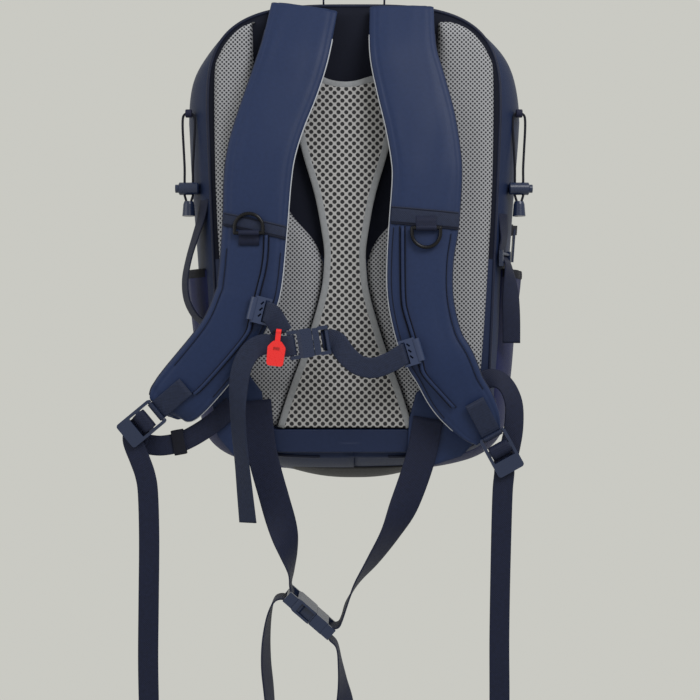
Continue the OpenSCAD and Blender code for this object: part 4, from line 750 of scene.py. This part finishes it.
def tab_round(name, place, degrees, path_yz, width, thick, finish, body_name="bag"):
    """Tape wrapped round a bar: its path lies in the local YZ plane and its width along X."""
    put = lean_frame(np.array(place, float), degrees)
    p = np.asarray(path_yz, float)
    line = put(np.stack([0 * p[:, 0], p[:, 0], p[:, 1]], 1)) * MM
    across = np.tile(put([[1, 0, 0]]) - put([[0, 0, 0]]), (len(line), 1))
    piece = swept(name, line, across, lens(14, width * MM, thick * MM, 5), finish)
    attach(piece, body_name)
    return piece


def loop_points(radius, start, stop, count=14):
    """Arc in the YZ plane from start to stop degrees; 0 is towards +Y and 90 towards +Z."""
    a = np.radians(np.linspace(start, stop, count))
    return np.stack([radius * np.cos(a), radius * np.sin(a)], 1)


TAB_T, WIRE_R = 1.2, 1.75
ring_y = strap_face - GAP - TAB_T - PIN_GAP - WIRE_R - .2
for label, x, z, way in (("left", -101.8, -281, 1), ("right", 69.6, -276, -1)):
    arc = loop_points(2.45, -60 * way, 235 * way)
    flat = np.array([[2.4, -11.8 * way], [2.45, -6 * way], [2.45, -2.6 * way]])
    tab_round("ring_tab_" + label, (x, ring_y, z), 0, np.vstack([flat, arc[1:]]), 20, 1.1,
                          nylon)
for label, place, degrees, reach in (("left", (-192.6, -45, -453.6), 50.3, -5.2),
                                     ("right", (134.7, -45, -477.5), -28.7, -6.2)):
    slack = np.linspace(0, 1, 8)[:, None]
    flat = np.array([[reach + .6, 38]]) * (1 - slack) + np.array([[1.0, 3.6]]) * slack
    tab_round("lock_patch_" + label, place, degrees,
                          np.vstack([flat, loop_points(2.6, 60, -215)]), 20, 1.2, chest_nylon)
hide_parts("strap_tabs")
ex = np.array([math.cos(math.radians(80)), 0, -math.sin(math.radians(80))])
ez = np.array([math.sin(math.radians(80)), 0, math.cos(math.radians(80))])
box_w, box_h = 22.4 / 2 + .6, 5.4 / 2 + .6
around = [(-box_w, 0), (-box_w, box_h - 1), (-box_w + 1, box_h), (0, box_h), (box_w - 1, box_h),
          (box_w, box_h - 1), (box_w, 0), (box_w, -box_h + 1), (box_w - 1, -box_h), (0, -box_h),
          (-box_w + 1, -box_h), (-box_w, -box_h + 1), (-box_w, -.5)]
tape("keeper_elastic", [[*(np.array([-173.5, -25.5, -485.3]) + a * ex + [0, b, 0]), *ez]
                                       for a, b in around], 12, 1.2, elastic, "bag",
                    ["webbing_keeper"], 3)
lug = np.array([math.cos(math.radians(7)), 0, -math.sin(math.radians(7))]) * 4.5
whistle_at = np.array([-72, strap_y - 9.4, -376.5])
cord_loop = np.array([whistle_at - lug + [0, 9.4, 0], whistle_at - lug + [0, 5, 0],
                      whistle_at - lug + [0, 1, 0], whistle_at - lug * .8, whistle_at,
                      whistle_at + lug * .8, whistle_at + lug + [0, 1, 0],
                      whistle_at + lug + [0, 5, 0], whistle_at + lug + [0, 9.4, 0]])
path = smooth(cord_loop, 6) * MM
whistle_cord = swept("whistle_cord", path, np.tile([.3, .2, 1], (len(path), 1)),
                     lens(10, .0023, .0023, 2), elastic)
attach(whistle_cord, "sternum_strap")
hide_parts("whistle_loop")

# ---- Hip belt wings ----
# A flat piece of navy cloth with a rounded edge is sewn into each lower corner and takes the
# hip webbing.
for label, corner in (("left", [[-106, -417], [-92, -436], [-86, -494], [-78, -512], [-116, -505],
                                [-137, -480], [-143, -442], [-124, -422]]),
                      ("right", [[62, -437], [55, -463], [53, -500], [71, -512], [108, -500],
                                 [134, -472], [136, -440], [106, -425], [76, -425]])):
    ring = np.vstack([np.linspace(a, b, 8, endpoint=False) for a, b in zip(
        np.array(corner, float), np.array(corner[1:] + corner[:1], float))])
    wing = cushion_plate("hip_wing_" + label, ring, -15.05, 1.9, strap_cloth)
    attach(wing, "bag")
    if label == "left":
        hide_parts("corner_wings")

# ---- Side pockets, rain-cover pocket and front pocket ----
# Stretch-woven pockets sewn to the sides and front, fuller towards their open tops, with an
# elastic binding, and a flat black zipped pocket under the base.
pocket_cloth = cloth("pocket_cloth", (0.009, 0.014, 0.078), 0.62, 0.0016, 0.00018, 0.03, 0.6)
base_cloth = cloth("base_cloth", (0.008, 0.008, 0.012), 0.65, 0.0013, 0.00015, 0.1, 0.6)
POCKET_FULL = 13
POCKET_TOP = 0.4 + 0.3 * (SHOULDER + 312) / (SHOULDER - HIP)
for label, way in (("left", -1), ("right", 1)):
    k = np.linspace(0, 1, 90)[:, None]
    s = np.linspace(0, 1, 56)[None, :]
    full = np.sin(np.pi * s) ** .7 * (1 - k) ** .8
    v = way * (POCKET_TOP + (.93 - POCKET_TOP) * k)
    gather = .9 * np.sin(34 * s + 2 * k) * np.exp(-5 * k) * full
    out = 1.0 + POCKET_FULL * full + (creases(260 * k, 120 * s, 40 + way, 1.6) + gather) * full ** .5
    grid = skin(v, .07 + .71 * s, out) * MM
    if way > 0:
        grid = grid[:, ::-1]
    pouch = shell(surface("side_pouch_" + label, grid, pocket_cloth), 0.0013, 0)
    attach(pouch, "bag")
    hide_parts("side_pocket_" + label)
    mouth = grid[0]
    trim = swept(f"side_pouch_{label}_hem", mouth[1:-1] - [0, 0, .003], np.tile([0, 0, 1], (54, 1)),
                 lens(12, .009, .0026, 3), elastic)
    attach(trim, "bag")
k = np.linspace(0, 1, 61)[:, None]
s = np.linspace(0, 1, 31)[None, :]
sag = 7 * np.sin(np.pi * k) * np.sin(np.pi * s)
grid = round_under(.938 + .124 * k + 0 * s, .12 + .72 * s + 0 * k, 1.6 + sag) * MM
rain = shell(surface("rain_cover_pouch", grid[::-1], base_cloth), 0.0014, 0)
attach(rain, "bag")
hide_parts("rain_pocket")
u = np.linspace(-1, 1, 71)[None, :]
k = np.linspace(0, 1, 61)[:, None]
FRONT_TOP, FRONT_H, FRONT_HALF, FRONT_FULL = -294, 170, 110, 16
z = FRONT_TOP - FRONT_H + FRONT_H * k
full = FRONT_FULL * np.maximum(0, np.cos(np.pi / 2 * u)) ** .8 * np.sin(np.pi / 2 * k) ** .7
fold = creases(FRONT_HALF * u, FRONT_H * k, 51, 1.4) * np.sin(np.pi * np.clip((1 - abs(u)), 0, 1) / 2)
grid = np.stack([u * (FRONT_HALF + 8 * k), depth(z) + 1.0 + full + fold * k, z + 0 * u], -1) * MM
stretch = shell(surface("front_pouch", grid[:, ::-1], pocket_cloth), 0.0013, 0)
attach(stretch, "bag")
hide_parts("front_pocket")
hem = swept("front_pouch_hem", grid[-1][2:-2] - [0, 0, .004], np.tile([0, 0, 1], (67, 1)),
            lens(12, .010, .0026, 3), elastic)
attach(hem, "bag")

# ---- Tabs of the elastic cords and pole loops ----
# Folded tape tabs sewn into the side seams, and two webbing loops low on the front.
for label, x in (("left", -CORD_X), ("right", CORD_X)):
    inner = CORD_X - 3.2 + GAP
    wall = depth(CORD_Z) * (1 - ((HALF_W - inner) / 26) ** (1 / 3)) / 2
    ring = loop_points(3.4, 25, 335, 22)
    tail = np.array([[wall - .3 - 13, 0], [6, 0], [4.2, .5]])
    tab_round("cord_tab_" + label, (x, CORD_Y, CORD_Z), 0,
                               np.vstack([tail, ring]), 6.4, 1.7, loop_web)
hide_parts("cord_tabs")
for label, x in (("left", -45), ("right", 45)):
    z = BASE + 36
    arc = loop_points(1, -90, 90, 26) * [11.1, 14.4]
    a = math.atan(SLOPE)
    spun = np.stack([arc[:, 0] * math.cos(a) - arc[:, 1] * math.sin(a),
                     arc[:, 0] * math.sin(a) + arc[:, 1] * math.cos(a)], 1)
    tab_round("pole_loop_" + label, (x, depth(z) + .5, z), 0, spun, 15, 1.7, loop_web)
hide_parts("pole_loops")

# ---- Inside: frame and sleeve ----
# A plastic sheet and an alloy rod stiffen the back; a cloth sleeve for a drinking bladder
# hangs in front of them.
k = np.linspace(0, 1, 30)[:, None]
a = np.linspace(0, math.tau, 73)[None, :-1]
c, s = np.cos(a), np.sin(a)
SHELL_T, SHEET_T, ROD_D = 3, 1.5, 4
SLEEVE_W, SLEEVE_H, SLEEVE_D = 190, 300, 16
plan_x = (SLEEVE_W - 1) / 2 * np.sign(c) * abs(c) ** .25
plan_y = (SLEEVE_D - 1) / 2 * np.sign(s) * abs(s) ** .25
sheet_top = RIM - 32
top_z = sheet_top - 20
low_z = top_z - SLEEVE_H
middle_y = SHELL_T + GAP + SHEET_T + 2 * GAP + ROD_D + SLEEVE_D / 2
z = low_z + (top_z - low_z) * k
puff = 1 + .03 * np.sin(np.pi * k)
grid = np.stack([plan_x + 0 * k, middle_y + plan_y * puff * .95, z + 0 * a], -1)
cap_rows = np.stack([np.stack([plan_x[0] * f, middle_y + plan_y[0] * f, low_z + 0 * a[0]], -1)
                     for f in (0.02, .5, .9)])
sleeve = shell(surface("bladder_sleeve", np.concatenate([cap_rows, grid]) * MM, pack_cloth, closed=True),
               0.0009)
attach(sleeve, "bag")
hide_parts("hydration_sleeve")


# ---- Moulded hardware ----
# Acetal buckles, ladder locks, sliders and cord locks in dark navy, a red whistle, wire rings
# and the hidden frame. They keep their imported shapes; a fine grain varies their gloss.
def moulded(name, colour, rough, metal=0.0, coat=0.0):
    """Moulded or drawn part: noise grain in Object coordinates varies the gloss."""
    finish = bpy.data.materials.new(name)
    finish.use_nodes = True
    tree = finish.node_tree
    look = tree.nodes["Principled BSDF"]
    look.inputs["Base Color"].default_value = (*colour, 1)
    look.inputs["Metallic"].default_value = metal
    look.inputs["Coat Weight"].default_value = coat
    spot = tree.nodes.new("ShaderNodeTexCoord")
    noise = tree.nodes.new("ShaderNodeTexNoise")
    noise.inputs["Scale"].default_value = 900
    noise.inputs["Detail"].default_value = 3
    tree.links.new(spot.outputs["Object"], noise.inputs["Vector"])
    gloss = tree.nodes.new("ShaderNodeMapRange")
    gloss.inputs["To Min"].default_value = rough - .08
    gloss.inputs["To Max"].default_value = rough + .1
    tree.links.new(noise.outputs["Fac"], gloss.inputs["Value"])
    tree.links.new(gloss.outputs["Result"], look.inputs["Roughness"])
    bump = tree.nodes.new("ShaderNodeBump")
    bump.inputs["Distance"].default_value = 0.00006
    bump.inputs["Strength"].default_value = 0.6
    tree.links.new(noise.outputs["Fac"], bump.inputs["Height"])
    tree.links.new(bump.outputs[0], look.inputs["Normal"])
    return finish


acetal = moulded("dark_acetal", (0.011, 0.02, 0.055), 0.28)
slider_plastic = moulded("slider_plastic", (0.022, 0.036, 0.09), 0.34)
whistle_red = moulded("whistle_red", (0.78, 0.012, 0.012), 0.28, coat=.3)
black_wire = moulded("black_wire", (0.008, 0.008, 0.01), 0.25, .6)
board = moulded("frame_board", (0.5, 0.5, 0.48), 0.5)
alloy = moulded("alloy_rod", (0.62, 0.63, 0.65), 0.3, 1.0)
zinc = moulded("dark_zinc", (0.05, 0.05, 0.06), 0.35, .9)
for finish, labels in (
        (acetal, ("sternum_female", "sternum_male", "hip_female", "hip_male", "ladder_lock_left",
                  "ladder_lock_right", "cord_lock_left", "cord_lock_right", "cord_button_left",
                  "cord_button_right", "cord_bells", "compression_locks")),
        (slider_plastic, ("rail_slider_left", "rail_slider_right")), (whistle_red, ("whistle",)),
        (black_wire, ("d_ring_left", "d_ring_right")), (board, ("frame_sheet",)),
        (alloy, ("frame_wire",)), (zinc, ("zip_slider",)), (acetal, ("zip_pull",))):
    for label in labels:
        part = nodes[label]
        part.data.materials.clear()
        part.data.materials.append(finish)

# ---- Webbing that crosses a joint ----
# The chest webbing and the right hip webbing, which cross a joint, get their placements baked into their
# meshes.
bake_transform(cords["sternum_webbing_left"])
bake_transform(cords["sternum_webbing_right"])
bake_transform(cords["hip_webbing_right"])
